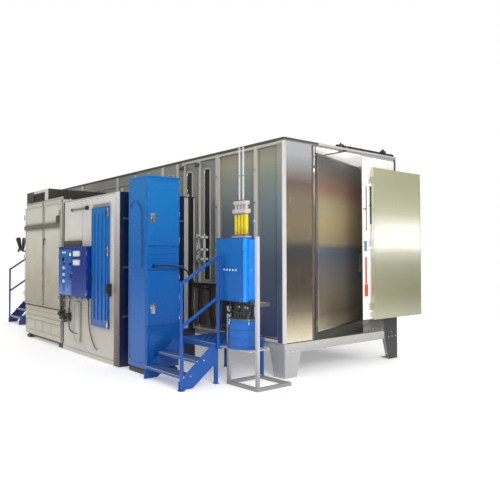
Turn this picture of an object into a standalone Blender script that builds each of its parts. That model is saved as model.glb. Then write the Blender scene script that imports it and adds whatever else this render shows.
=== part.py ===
"""Walk-in powder spraying booth with its filter house, powder module, control cabinet and stands.

Everything is laid out from the near front corner of the cabin: x runs along the cabin towards its
open end, y runs from the long front wall to the rear wall, and z = 0 is the shop floor. One shift,
FRAME_SHIFT, then puts the middle of the whole machine over the world's origin.
"""
import math

import bmesh
import bpy
from mathutils import Matrix, Vector

# ---------------------------------------------------------------- driving dimensions (metres)
GAP = 0.0005                 # air left between touching pieces
SHEET = 0.003                # sheet thickness of the cabin

CABIN_LENGTH = 7.5
CABIN_WIDTH = 2.46
ROOF_TOP = 3.12
ROOF_RIM = 0.04              # depth of the roof's folded edge
WALL_BOTTOM = 0.449
SILL_BOTTOM = 0.371
SLOT_HALF = 0.05             # half width of the conveyor slot in the roof
MID_Y = CABIN_WIDTH / 2

JAMB_NEAR = 0.56             # end opening, along y
JAMB_FAR = 1.62
LEG_TOP = 0.32
LEG_FOOT = 0.22

GUN_SLOTS = ((-2.17, -2.03), (-1.70, -1.57))
GUN_SLOT_Z = (1.22, 2.90)
POSTS = ((-2.25, -2.21), (-1.84, -1.80), (-1.385, -1.32), (-0.54, -0.50), (-0.09, 0.0))
POST_DEPTH = 0.04

INNER_HINGE = (-0.035, 0.64)
INNER_LENGTH = 1.68
INNER_ANGLE = math.radians(16.2)
INNER_Z = (0.546, 2.995)

OUTER_HINGE = (0.056, 1.745)
OUTER_LENGTH = 1.25
OUTER_Z = (0.643, 2.887)
STILE_FAR = 1.90             # far edge of the plate that carries the outer leaf's hinges
LEAF_THICK = 0.036

FRONT_Y = -1.33              # front faces of the grey units
BACK_Y = -0.05               # rear face of the powder module
HOUSE_BACK_Y = -0.36         # rear face of the filter house, clear of the gun bay
DUCT_X = (-3.35, -2.75)      # suction duct from the cabin into the filter house
DUCT_Z = (1.00, 1.60)
HOUSE_X = (-3.93, -1.95)
HOUSE_Z = (0.0, 2.50)
HOUSE_DOOR_X = (-2.78, -2.24)
HOUSE_DOOR_Z = (0.52, 2.31)
MODULE_X = (-5.75, -3.98)
MODULE_Z = (0.09, 2.55)
MODULE_DOOR_Z = (0.66, 2.50)
MODULE_SEAM_X = -4.76

CABINET_X = (-1.74, -1.25)
CABINET_Y = (-1.30, -0.79)
CABINET_Z = (0.08, 2.64)
CABINET_DOORS = {"upper": (1.72, 2.58, 2.10), "lower": (0.66, 1.38, 0.90)}

DECK_TOP = 0.49
STAIR_X = (-1.12, -0.33)
STAIR_Y = (-1.42, -0.87)
LEFT_STAIR_X = (-8.30, -7.56)
LEFT_STAIR_Y = (-0.86, -0.05)
RAIL_TUBE = 0.02

STAND_X = (-0.25, 0.27)
STAND_Y = (-0.72, -0.20)
STAND_BOX_X = (-0.42, 0.10)
STAND_BOX_Y = (-0.79, -0.57)
STAND_BOX_Z = (1.03, 1.80)
DRUM_AT = (-0.01, -0.70)
DRUM_RADIUS = 0.182

CONTROL_X = (-3.92, -2.81)
CONTROL_Z = (0.92, 1.72)
CONTROL_DEPTH = 0.085
CONTROL_SPLIT_X = -3.36
KNOB_REACH = 0.040           # how far the mode switch stands out of the control box

BOUNDS_X = (LEFT_STAIR_X[0], STAND_X[1] + 0.02)
BOUNDS_Y = (FRONT_Y - GAP - CONTROL_DEPTH - KNOB_REACH, OUTER_HINGE[1] + OUTER_LENGTH)
FRAME_SHIFT = (-(BOUNDS_X[0] + BOUNDS_X[1]) / 2, -(BOUNDS_Y[0] + BOUNDS_Y[1]) / 2, 0.0)


# ---------------------------------------------------------------- materials
PALETTE = {
    "stainless": ((0.56, 0.55, 0.52), 0.32, 1.0),
    "dark_steel": ((0.10, 0.10, 0.10), 0.45, 0.8),
    "grey_paint": ((0.43, 0.42, 0.39), 0.50, 0.0),
    "light_paint": ((0.62, 0.62, 0.60), 0.45, 0.0),
    "cabinet_blue": ((0.010, 0.120, 0.480), 0.38, 0.0),
    "navy_blue": ((0.004, 0.040, 0.320), 0.40, 0.0),
    "stair_blue": ((0.015, 0.065, 0.450), 0.42, 0.0),
    "rubber": ((0.015, 0.015, 0.015), 0.75, 0.0),
    "yellow_hose": ((0.70, 0.58, 0.02), 0.45, 0.0),
    "filter_paper": ((0.75, 0.73, 0.66), 0.90, 0.0),
    "white_plastic": ((0.80, 0.80, 0.78), 0.40, 0.0),
}


def material(name):
    """Make or fetch one Principled material of the palette."""
    found = bpy.data.materials.get(name)
    if found:
        return found
    color, rough, metal = PALETTE[name]
    made = bpy.data.materials.new(name)
    made.use_nodes = True
    shader = made.node_tree.nodes["Principled BSDF"]
    shader.inputs["Base Color"].default_value = (*color, 1.0)
    shader.inputs["Roughness"].default_value = rough
    shader.inputs["Metallic"].default_value = metal
    made.diffuse_color = (*color, 1.0)
    return made


# ---------------------------------------------------------------- solids, as bmesh builders
def block(lo, hi):
    """A closed box between two corners."""
    made = bmesh.new()
    bmesh.ops.create_cube(made, size=1.0)
    for vert in made.verts:
        for axis in range(3):
            middle = (lo[axis] + hi[axis]) / 2
            vert.co[axis] = middle + vert.co[axis] * (hi[axis] - lo[axis])
    return made


def prism(outline, axis, start, stop):
    """Extrude an outline of (u, v) points along an axis; u and v are the two other axes in order."""
    made = bmesh.new()
    others = [i for i in range(3) if i != axis]
    loops = []
    for level in (start, stop):
        loop = []
        for u, v in outline:
            point = [0.0, 0.0, 0.0]
            point[others[0]] = u
            point[others[1]] = v
            point[axis] = level
            loop.append(made.verts.new(point))
        loops.append(loop)
    made.faces.new(loops[0])
    made.faces.new(loops[1])
    for i in range(len(outline)):
        j = (i + 1) % len(outline)
        made.faces.new((loops[0][i], loops[0][j], loops[1][j], loops[1][i]))
    bmesh.ops.recalc_face_normals(made, faces=made.faces)
    return made


def rod(start, stop, radius, sides=16, radius_stop=None):
    """A round bar, or a cone when radius_stop is given, between two points."""
    made = bmesh.new()
    a = Vector(start)
    b = Vector(stop)
    end_radius = radius if radius_stop is None else radius_stop
    bmesh.ops.create_cone(made, cap_ends=True, segments=sides, radius1=radius,
                          radius2=end_radius, depth=(b - a).length)
    turn = Vector((0, 0, 1)).rotation_difference(b - a).to_matrix().to_4x4()
    bmesh.ops.transform(made, matrix=Matrix.Translation((a + b) / 2) @ turn, verts=made.verts)
    return made


def turned(profile, center, sides=32):
    """Spin a closed (radius, z) outline round a vertical axis."""
    made = bmesh.new()
    rings = []
    for step in range(sides):
        turn = 2 * math.pi * step / sides
        ring = []
        for radius, z in profile:
            at = (center[0] + radius * math.cos(turn), center[1] + radius * math.sin(turn), z)
            ring.append(made.verts.new(at))
        rings.append(ring)
    count = len(profile)
    for step in range(sides):
        here = rings[step]
        there = rings[(step + 1) % sides]
        for i in range(count):
            j = (i + 1) % count
            made.faces.new((here[i], there[i], there[j], here[j]))
    bmesh.ops.recalc_face_normals(made, faces=made.faces)
    return made


def tray(lo, hi, wall, axis, side):
    """A thin-walled box with one open face, on the low (-1) or high (+1) side of an axis."""
    outer = [list(lo), list(hi)]
    inner = [[v + wall for v in lo], [v - wall for v in hi]]
    inner[0 if side < 0 else 1][axis] = outer[0 if side < 0 else 1][axis]
    made = bmesh.new()
    corners = []
    for low, high in (outer, inner):
        corners.append([made.verts.new((x, y, z)) for x in (low[0], high[0])
                        for y in (low[1], high[1]) for z in (low[2], high[2])])
    quads = {0: ((0, 1, 3, 2), (4, 5, 7, 6)), 1: ((0, 1, 5, 4), (2, 3, 7, 6)),
             2: ((0, 2, 6, 4), (1, 3, 7, 5))}
    for direction, pair in quads.items():
        for which, quad in enumerate(pair):
            opening = direction == axis and (which == 0) == (side < 0)
            if opening:
                for i in range(4):
                    j = (i + 1) % 4
                    made.faces.new((corners[0][quad[i]], corners[0][quad[j]],
                                    corners[1][quad[j]], corners[1][quad[i]]))
            else:
                made.faces.new([corners[0][k] for k in quad])
                made.faces.new([corners[1][k] for k in quad])
    bmesh.ops.recalc_face_normals(made, faces=made.faces)
    return made


def hollow_panel(lo, hi, skin):
    """A double-skinned panel: a closed box of thin sheet, open at two small drain holes below."""
    made = block(lo, hi)
    inner = block([v + skin for v in lo], [v - skin for v in hi])
    long_axis = 0 if hi[0] - lo[0] > hi[1] - lo[1] else 1
    across = 1 - long_axis
    half = min(0.008, (hi[across] - lo[across]) / 4)
    cutters = [inner]
    for share in (0.25, 0.75):
        low = [0.0, 0.0, lo[2] - skin]
        high = [0.0, 0.0, lo[2] + 2 * skin]
        at = lo[long_axis] + share * (hi[long_axis] - lo[long_axis])
        middle = (lo[across] + hi[across]) / 2
        low[long_axis], high[long_axis] = at - 0.02, at + 0.02
        low[across], high[across] = middle - half, middle + half
        cutters.append(block(low, high))
    return difference(made, *cutters)


# ---------------------------------------------------------------- objects
def temporary(made):
    """Turn a bmesh into a throw-away object."""
    mesh = bpy.data.meshes.new("scratch")
    made.to_mesh(mesh)
    made.free()
    thing = bpy.data.objects.new("scratch", mesh)
    bpy.context.collection.objects.link(thing)
    return thing


def combine(first, others, operation):
    """Join solids to the first one, or cut them from it, with exact Booleans, into one mesh."""
    base = temporary(first)
    helpers = [temporary(made) for made in others]
    for helper in helpers:
        step = base.modifiers.new("step", "BOOLEAN")
        step.operation = operation
        step.solver = "EXACT"
        step.object = helper
    evaluated = base.evaluated_get(bpy.context.evaluated_depsgraph_get())
    mesh = bpy.data.meshes.new_from_object(evaluated)
    for thing in [base] + helpers:
        old = thing.data
        bpy.data.objects.remove(thing)
        bpy.data.meshes.remove(old)
    result = bmesh.new()
    result.from_mesh(mesh)
    bpy.data.meshes.remove(mesh)
    bmesh.ops.remove_doubles(result, verts=result.verts, dist=0.00001)
    bmesh.ops.dissolve_limit(result, angle_limit=0.002, verts=result.verts, edges=result.edges)
    return result


def union(first, *others):
    return combine(first, others, "UNION")


def difference(first, *others):
    return combine(first, others, "DIFFERENCE")


def piece(name, made, finish, pivot=(0.0, 0.0, 0.0), smooth=False):
    """Make a named part; its origin goes to pivot, which is on the joint's axis of a moving part."""
    bmesh.ops.translate(made, verts=made.verts, vec=-Vector(pivot))
    mesh = bpy.data.meshes.new(name)
    made.to_mesh(mesh)
    made.free()
    mesh.materials.append(material(finish))
    if smooth:
        mesh.shade_smooth()
        mesh.set_sharp_from_angle(angle=math.radians(35))
    thing = bpy.data.objects.new(name, mesh)
    bpy.context.collection.objects.link(thing)
    thing.parent = bpy.data.objects["machine_frame"]
    thing.location = pivot
    return thing


def turned_by(made, pivot, angle):
    """Turn a solid about a vertical line through pivot."""
    at = Vector((pivot[0], pivot[1], 0.0))
    spin = Matrix.Translation(at) @ Matrix.Rotation(angle, 4, "Z") @ Matrix.Translation(-at)
    bmesh.ops.transform(made, matrix=spin, verts=made.verts)
    return made


def knuckles(center, levels, radius, bore, height=0.10):
    """Hinge knuckles round a vertical pin: tubes at the given heights."""
    rings = []
    for z in levels:
        outline = ((bore, z), (radius, z), (radius, z + height), (bore, z + height))
        rings.append(turned(outline, center, 12))
    return rings


# ---------------------------------------------------------------- cabin
def make_base():
    """Sill ring of folded channel under the walls, and four cross frames with bent-sheet legs."""
    channel = 0.060
    wall = 0.004
    top = WALL_BOTTOM - GAP
    outer = block((-CABIN_LENGTH, 0, SILL_BOTTOM), (0, CABIN_WIDTH, top))
    inside = block((-CABIN_LENGTH + wall, wall, SILL_BOTTOM + wall),
                   (-wall, CABIN_WIDTH - wall, top - wall))
    through = block((-CABIN_LENGTH + channel, channel, SILL_BOTTOM - 0.1),
                    (-channel, CABIN_WIDTH - channel, top + 0.1))
    piece("base_sill_ring", difference(outer, inside, through), "light_paint")
    for index in range(4):
        make_leg_frame(index)


def make_leg_frame(index):
    """One cross beam with a leg at each end; a leg is two flared flanges and a foot plate."""
    right = index < 2
    step = (CABIN_LENGTH - 0.004) / 3
    x = -0.002 - index * step
    side = -1 if right else 1
    plate = 0.006
    top = SILL_BOTTOM - GAP
    foot = 0.010
    beam = block((min(x, x + side * 0.05), 0.004, top - 0.05), (max(x, x + side * 0.05),
                 CABIN_WIDTH - 0.004, top))
    solids = []
    for y, inward in ((0.002, 1), (CABIN_WIDTH - 0.002, -1)):
        flange = ((y, top), (y + inward * LEG_TOP, top), (y + inward * LEG_FOOT, 0.0), (y, 0.0))
        solids.append(prism(flange, 0, min(x, x + side * plate), max(x, x + side * plate)))
        reach = ((x, top), (x + side * LEG_TOP * 0.88, top), (x + side * LEG_FOOT * 0.9, 0.0),
                 (x, 0.0))
        solids.append(prism(reach, 1, min(y, y + inward * plate), max(y, y + inward * plate)))
        solids.append(block((min(x, x + side * 0.16), min(y, y + inward * 0.18), 0.0),
                            (max(x, x + side * 0.16), max(y, y + inward * 0.18), foot)))
    piece(f"leg_frame_{index + 1}", union(beam, *solids), "stainless")


def make_walls():
    """Floor, long walls, gun-slot panel, end jambs and the two roof halves."""
    length = CABIN_LENGTH
    low = WALL_BOTTOM
    high = ROOF_TOP - ROOF_RIM - GAP
    panel_x = (POSTS[0][0] - 0.01, POSTS[2][0] + 0.03)
    piece("floor_pan", block((-length + 0.004, 0.004, low), (-0.004, CABIN_WIDTH - 0.004, low + SHEET)),
          "dark_steel")
    mouth = block((DUCT_X[0], -0.1, DUCT_Z[0]), (DUCT_X[1], 0.1, DUCT_Z[1]))
    bay = block((-length, 0, low), (panel_x[0] - GAP, SHEET, high))
    piece("front_wall_rear_bay", difference(bay, mouth), "stainless")
    piece("front_wall_end_bay", block((panel_x[1] + GAP, 0, low), (0, SHEET, high)), "stainless")
    cutters = [block((a, -0.1, GUN_SLOT_Z[0]), (b, 0.1, GUN_SLOT_Z[1])) for a, b in GUN_SLOTS]
    panel = block((panel_x[0], 0, low), (panel_x[1], SHEET, high))
    piece("gun_slot_panel", difference(panel, *cutters), "stainless")
    piece("rear_wall", block((-length, CABIN_WIDTH - SHEET, low), (0, CABIN_WIDTH, high)),
          "stainless")
    near = (SHEET + GAP, JAMB_NEAR)
    far = (JAMB_FAR, CABIN_WIDTH - SHEET - GAP)
    for end, x in (("exit", -SHEET), ("entry", -length)):
        for side, span in (("near", near), ("far", far)):
            made = block((x, span[0], low), (x + SHEET, span[1], high))
            piece(f"{end}_jamb_{side}", made, "stainless")
    for side, span in (("front", (0, MID_Y - SLOT_HALF)), ("rear", (MID_Y + SLOT_HALF, CABIN_WIDTH))):
        made = hollow_panel((-length, span[0], ROOF_TOP - ROOF_RIM), (0, span[1], ROOF_TOP), 0.0015)
        piece(f"roof_{side}", made, "stainless")


def make_front_frame():
    """Light posts in front of the gun-slot bays, tied by head, foot and middle rails."""
    back = -GAP
    front = back - POST_DEPTH
    foot = WALL_BOTTOM + 0.003
    head = ROOF_TOP - ROOF_RIM - 0.004
    bars = [block((a, front, foot), (b, back, head)) for a, b in POSTS]
    bars.append(block((POSTS[0][0] + 0.01, front + 0.01, head - 0.035),
                      (POSTS[-1][1] - 0.01, back - 0.002, head - 0.001)))
    bars.append(block((POSTS[0][0] + 0.01, front + 0.01, foot + 0.001),
                      (POSTS[-1][1] - 0.01, back - 0.002, foot + 0.035)))
    bars.append(block((POSTS[0][0] + 0.01, front + 0.012, 1.165),
                      (POSTS[2][0] + 0.02, back - 0.004, 1.190)))
    piece("front_post_frame", union(bars[0], *bars[1:]), "light_paint")


def make_gun_carriage(index):
    """A carriage that runs on one post and pushes three spray guns through its wall slot."""
    post = POSTS[index]
    slot = GUN_SLOTS[index]
    middle = (slot[0] + slot[1]) / 2
    face = -GAP - POST_DEPTH
    clear = 0.002
    levels = (1.53, 1.67, 1.86)
    low = levels[0] - 0.05
    high = levels[2] + 0.05
    plate = block((post[0] - 0.014, face - 0.016, low), (post[1] + 0.014, face - clear, high))
    cheeks = []
    for a, b in ((post[0] - 0.014, post[0] - clear), (post[1] + clear, post[1] + 0.014)):
        cheeks.append(block((a, face - 0.010, low), (b, face + 0.022, high)))
    mast = block((middle - 0.015, face - 0.034, low), (middle + 0.015, face - 0.006, high))
    arm = [block((post[0] + 0.002, face - 0.030, z - 0.012), (middle + 0.05, face - 0.004, z + 0.012))
           for z in (levels[0], levels[2])]
    guns = []
    for z in levels:
        guns.append(rod((middle, face - 0.09, z), (middle, 0.34, z), 0.019, 12))
        guns.append(rod((middle, 0.33, z), (middle, 0.44, z), 0.030, 12, 0.016))
    made = union(plate, *cheeks, mast, *arm, *guns)
    pivot = ((post[0] + post[1]) / 2, face, levels[1])
    piece(f"gun_carriage_{index + 1}", made, "white_plastic", pivot)


# ---------------------------------------------------------------- end doors
def make_inner_door():
    """Inner baffle leaf on a full-height pin, standing half open inside the cabin."""
    x, y = INNER_HINGE
    low, high = INNER_Z
    half = LEAF_THICK / 2
    levels = (0.62, 1.62, 2.72)
    pin = rod((x, y, WALL_BOTTOM + SHEET + GAP), (x, y, ROOF_TOP - ROOF_RIM - GAP), 0.007, 12)
    piece("inner_door_pin", pin, "dark_steel", smooth=True)
    leaf = hollow_panel((x - half, y + 0.022, low), (x + half, y + INNER_LENGTH, high), 0.0015)
    straps = [block((x - 0.009, y + 0.0115, z + 0.01), (x + half - 0.0005, y + 0.12, z + 0.09))
              for z in levels]
    made = union(leaf, *straps, *knuckles((x, y), levels, 0.0135, 0.0078))
    turned_by(made, INNER_HINGE, INNER_ANGLE)
    piece("inner_door_leaf", made, "stainless", (x, y, low))


def make_outer_door():
    """Outer leaf, folded right back beside the opening, with its stile, pins and latch bar."""
    x, y = OUTER_HINGE
    low, high = OUTER_Z
    levels = (low + 0.14, (low + high) / 2 - 0.05, high - 0.24)
    stile = block((GAP, JAMB_FAR, low), (0.0065, STILE_FAR, high))
    pads = []
    for z in levels:
        pads.append(rod((x, y, z - 0.032), (x, y, z + 0.10), 0.0075, 12))
        pads.append(block((0.0055, y - 0.012, z - 0.032), (x + 0.008, y + 0.010, z - 0.006)))
    piece("outer_door_stile", union(stile, *pads), "light_paint")
    leaf = hollow_panel((x + 0.003, y + 0.018, low), (x + 0.003 + LEAF_THICK, y + OUTER_LENGTH, high),
                        0.0015)
    straps = [block((x + 0.0115, y + 0.002, z), (x + 0.030, y + 0.10, z + 0.096)) for z in levels]
    made = union(leaf, *straps, *knuckles((x, y), levels, 0.014, 0.0085))
    piece("outer_door_leaf", made, "stainless", (x, y, low))
    pivot = (0.0065 + GAP, 1.795, 2.33)
    boss = rod(pivot, (0.030, pivot[1], pivot[2]), 0.018, 16)
    bar = block((0.016, pivot[1] - 0.012, 2.05), (0.026, pivot[1] + 0.012, 2.61))
    piece("outer_door_latch_bar", union(boss, bar), "dark_steel", pivot)


# ---------------------------------------------------------------- filter house
def make_filter_house():
    """Grey house with its cartridge bank, fan and motor behind a ribbed blue door."""
    wall = 0.003
    lo = (HOUSE_X[0], FRONT_Y, HOUSE_Z[0])
    hi = (HOUSE_X[1], HOUSE_BACK_Y, HOUSE_Z[1])
    shell = block(lo, hi)
    collar = block((DUCT_X[0] - wall, HOUSE_BACK_Y - 0.002, DUCT_Z[0] - wall),
                   (DUCT_X[1] + wall, -GAP, DUCT_Z[1] + wall))
    hollow = block([v + wall for v in lo], [v - wall for v in hi])
    a, b = HOUSE_DOOR_X
    doorway = block((a + 0.03, FRONT_Y - 0.1, HOUSE_DOOR_Z[0] + 0.03),
                    (b - 0.03, FRONT_Y + 0.1, HOUSE_DOOR_Z[1] - 0.03))
    duct = block((DUCT_X[0], HOUSE_BACK_Y - 0.1, DUCT_Z[0]), (DUCT_X[1], 0.1, DUCT_Z[1]))
    piece("filter_house", difference(union(shell, collar), hollow, doorway, duct), "grey_paint")
    make_filter_door()
    make_filter_bank(wall)


def make_filter_door():
    """Ribbed door, hinged on its right edge, and its turn latch near the left edge."""
    a, b = HOUSE_DOOR_X
    low, high = HOUSE_DOOR_Z
    back = FRONT_Y - 0.004
    front = back - 0.030
    leaf = hollow_panel((a, front, low), (b - 0.006, back, high), 0.0015)
    ribs = []
    for step in range(4):
        x = a + 0.085 + step * 0.122
        ribs.append(block((x - 0.022, front - 0.014, low + 0.10),
                          (x + 0.022, front + 0.001, high - 0.10)))
    straps = [block((b - 0.05, front - 0.012, z), (b + 0.004, front + 0.002, z + 0.10))
              for z in (low + 0.02, (low + high) / 2 + 0.18, high - 0.14)]
    pivot = (b + 0.004, front - 0.006, low)
    piece("filter_door", union(leaf, *ribs, *straps), "cabinet_blue", pivot)
    z = 1.24
    turn = (a + 0.030, front - GAP, z)
    boss = rod(turn, (turn[0], front - 0.026, z), 0.016, 16)
    lever = block((turn[0] - 0.011, front - 0.038, z - 0.10), (turn[0] + 0.011, front - 0.022, z + 0.02))
    piece("filter_door_latch", union(boss, lever), "rubber", turn)


def make_filter_bank(wall):
    """Tube sheet with four hanging cartridges, and above it the fan wheel on its motor."""
    x0, x1 = HOUSE_X[0] + wall + 0.002, HOUSE_X[1] - wall - 0.002
    y0, y1 = FRONT_Y + wall + 0.03, HOUSE_BACK_Y - wall - 0.002
    sheet_z = 1.72
    sheet = block((x0, y0, sheet_z), (x1, y1, sheet_z + 0.006))
    solids = []
    bores = []
    for i in range(4):
        x = x0 + 0.30 + i * 0.45
        y = (y0 + y1) / 2
        solids.append(rod((x, y, 0.55), (x, y, sheet_z + 0.02), 0.16, 20))
        bores.append(rod((x, y, 0.50), (x, y, sheet_z - 0.02), 0.14, 20))
    piece("filter_cartridge_bank", difference(union(sheet, *solids), *bores), "filter_paper", smooth=True)
    cx = (x0 + x1) / 2
    cy = (y0 + y1) / 2
    top = HOUSE_Z[1] - wall - GAP
    motor = rod((cx, cy, top - 0.26), (cx, cy, top - 0.02), 0.13, 20)
    flange = block((cx - 0.20, cy - 0.20, top - 0.03), (cx + 0.20, cy + 0.20, top))
    piece("fan_motor", union(motor, flange), "dark_steel")
    hub_top = top - 0.262
    hub = rod((cx, cy, hub_top - 0.16), (cx, cy, hub_top), 0.05, 16)
    plate = rod((cx, cy, hub_top - 0.012), (cx, cy, hub_top - 0.006), 0.32, 24)
    blades = []
    for step in range(8):
        blade = block((cx + 0.04, cy - 0.003, hub_top - 0.15), (cx + 0.31, cy + 0.003, hub_top - 0.008))
        blades.append(turned_by(blade, (cx, cy), step * math.pi / 4))
    piece("fan_wheel", union(hub, plate, *blades), "stainless", (cx, cy, hub_top))


# ---------------------------------------------------------------- powder module
def make_powder_module():
    """Left grey module: double doors, apron with two rails, and the cyclone inside."""
    wall = 0.003
    x0, x1 = MODULE_X
    low, high = MODULE_Z
    shell = block((x0, FRONT_Y, low), (x1, BACK_Y, high))
    cornice = block((x0 - 0.02, FRONT_Y + 0.01, high - 0.02), (-4.68, BACK_Y - 0.10, 2.80))
    hollow = block((x0 + wall, FRONT_Y + wall, low + wall), (x1 - wall, BACK_Y - wall, high - 0.025))
    doorway = block((x0 + 0.04, FRONT_Y - 0.1, MODULE_DOOR_Z[0] + 0.03),
                    (x1 - 0.04, FRONT_Y + 0.1, MODULE_DOOR_Z[1] - 0.03))
    upper = block((x0 + 0.01, FRONT_Y + 0.02, high + 0.003), (-4.69, BACK_Y - 0.2, 2.79))
    vent = block((x0 + 0.15, FRONT_Y - 0.2, high + 0.05), (-4.85, FRONT_Y + 0.1, 2.74))
    rails = [block((x0 + 0.03, FRONT_Y - 0.020, z - 0.03), (x1 - 0.03, FRONT_Y + 0.002, z + 0.03))
             for z in (0.42, 0.60)]
    body = union(shell, cornice, *rails)
    piece("powder_module", difference(body, hollow, doorway, upper, vent), "grey_paint")
    foot_z = low - GAP
    pads = []
    for fx in (x0 + 0.10, x1 - 0.10):
        for fy in (FRONT_Y + 0.10, BACK_Y - 0.10):
            pads.append(block((fx - 0.08, fy - 0.08, 0.0), (fx + 0.08, fy + 0.08, 0.05)))
    skid = [block((x0 + 0.05, FRONT_Y + 0.05, 0.04), (x1 - 0.05, FRONT_Y + 0.15, foot_z)),
            block((x0 + 0.05, BACK_Y - 0.15, 0.04), (x1 - 0.05, BACK_Y - 0.05, foot_z)),
            block((x0 + 0.051, FRONT_Y + 0.06, 0.042), (x0 + 0.15, BACK_Y - 0.06, foot_z - 0.001)),
            block((x1 - 0.15, FRONT_Y + 0.06, 0.042), (x1 - 0.051, BACK_Y - 0.06, foot_z - 0.001))]
    piece("powder_module_skid", union(skid[0], *skid[1:], *pads), "rubber")
    make_module_doors()
    make_cyclone()


def make_module_doors():
    """Two doors meeting at a middle seam, each with a lift rail, and a small latch at the seam."""
    x0, x1 = MODULE_X
    low, high = MODULE_DOOR_Z
    back = FRONT_Y - 0.003
    front = back - 0.026
    edges = {"left": (x0 + 0.02, MODULE_SEAM_X - 0.003, x0 + 0.02),
             "right": (MODULE_SEAM_X + 0.003, x1 - 0.02, x1 - 0.02)}
    for side, (a, b, hinge) in edges.items():
        leaf = hollow_panel((a, front, low), (b, back, high), 0.0015)
        rail = block((a + 0.03, front - 0.020, 2.085), (b - 0.03, front + 0.001, 2.135))
        name = f"powder_module_door_{side}"
        piece(name, union(leaf, rail), "grey_paint", (hinge, front, low))
    z = 1.87
    x = MODULE_SEAM_X + 0.045
    boss = rod((x, front - GAP, z), (x, front - 0.026, z), 0.016, 16)
    lever = block((x - 0.012, front - 0.040, z - 0.10), (x + 0.012, front - 0.022, z + 0.020))
    piece("powder_module_latch", union(boss, lever), "dark_steel", (x, front - GAP, z))


def make_cyclone():
    """Cyclone separator: barrel, cone and outlet as one turned shell, open at both ends."""
    cx = (MODULE_X[0] + MODULE_X[1]) / 2
    cy = (FRONT_Y + BACK_Y) / 2
    floor = MODULE_Z[0] + 0.003 + GAP
    outer = [(0.10, floor), (0.10, 0.55), (0.42, 1.35), (0.42, 2.42)]
    wall = 0.004
    profile = [(r, z) for r, z in outer]
    profile += [(r - wall, z) for r, z in reversed(outer)]
    piece("cyclone", turned(profile, (cx, cy), 24), "stainless", smooth=True)


# ---------------------------------------------------------------- tall blue cabinet
def make_cabinet():
    """Tall cabinet with two doors on its right face, turn handles and black feet."""
    wall = 0.003
    lo = (CABINET_X[0], CABINET_Y[0], CABINET_Z[0])
    hi = (CABINET_X[1], CABINET_Y[1], CABINET_Z[1])
    shell = block(lo, hi)
    hollow = block([v + wall for v in lo], [v - wall for v in hi])
    holes = []
    for low, high, _ in CABINET_DOORS.values():
        holes.append(block((hi[0] - 0.1, lo[1] + 0.03, low + 0.02),
                           (hi[0] + 0.1, hi[1] - 0.03, high - 0.02)))
    piece("control_cabinet", difference(shell, hollow, *holes), "cabinet_blue")
    legs = [block((lo[0] + 0.01, y, 0.0), (hi[0] - 0.01, y + 0.07, 0.05))
            for y in (lo[1] + 0.01, hi[1] - 0.08)]
    cross = block((lo[0] + 0.05, lo[1] + 0.02, 0.045), (hi[0] - 0.05, hi[1] - 0.02, lo[2] - GAP))
    piece("control_cabinet_plinth", union(cross, *legs), "rubber")
    shelf = block((lo[0] + 0.02, lo[1] + 0.02, 0.40), (lo[0] + 0.03, hi[1] - 0.02, 2.55))
    modules = [block((lo[0] + 0.025, lo[1] + 0.04, z), (lo[0] + 0.25, hi[1] - 0.04, z + 0.13))
               for z in (0.75, 0.95, 1.15, 1.80, 2.00, 2.20, 2.40)]
    piece("gun_control_rack", union(shelf, *modules), "dark_steel")
    for name, (low, high, grip) in CABINET_DOORS.items():
        make_cabinet_door(name, low, high, grip)


def make_cabinet_door(name, low, high, grip):
    """One door, hinged at the rear edge of the right face, and its handle near the front edge."""
    face = CABINET_X[1] + 0.002
    front = face + 0.018
    hinge_y = CABINET_Y[1] - 0.004
    leaf = hollow_panel((face, CABINET_Y[0] + 0.005, low), (front, hinge_y, high), 0.0015)
    piece(f"cabinet_door_{name}", leaf, "cabinet_blue", (front, hinge_y, low))
    y = CABINET_Y[0] + 0.08
    plate = rod((front + GAP, y, grip), (front + 0.012, y, grip), 0.028, 16)
    lever = block((front + 0.010, y - 0.011, grip - 0.075), (front + 0.024, y + 0.011, grip + 0.02))
    piece(f"cabinet_handle_{name}", union(plate, lever), "white_plastic", (front + GAP, y, grip))


# ---------------------------------------------------------------- platforms, stairs and rails
def platform_solids(x_span, y_span):
    """A deck on a folded rim with four legs that stand on foot plates."""
    a, b = x_span
    c, d = y_span
    solids = [tray((a, c, DECK_TOP - 0.06), (b, d, DECK_TOP), 0.004, 2, -1)]
    for x in (a + 0.003, b - 0.043):
        for y in (c + 0.003, d - 0.043):
            solids.append(block((x, y, 0.0), (x + 0.04, y + 0.04, DECK_TOP - 0.002)))
            solids.append(block((max(x - 0.02, a), max(y - 0.02, c), 0.0),
                                (min(x + 0.06, b), min(y + 0.06, d), 0.008)))
    return solids


def stair_solids(x_span, y_low, y_high):
    """Two plate stringers with two treads, climbing along +y to the deck."""
    a, b = x_span
    rise = y_high - y_low
    solids = []
    for x in (a, b - 0.008):
        outline = ((y_low, 0.0), (y_low + 0.20, 0.0), (y_high + 0.01, 0.26),
                   (y_high + 0.01, DECK_TOP - 0.005), (y_high - 0.06, DECK_TOP - 0.005), (y_low, 0.10))
        solids.append(prism(outline, 0, x, x + 0.008))
    for step in (1, 2):
        z = step * DECK_TOP / 3
        y = y_low + 0.02 + (step - 1) * rise * 0.36
        solids.append(tray((a + 0.004, y, z - 0.03), (b - 0.004, y + 0.20, z), 0.004, 2, -1))
    return solids


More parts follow.
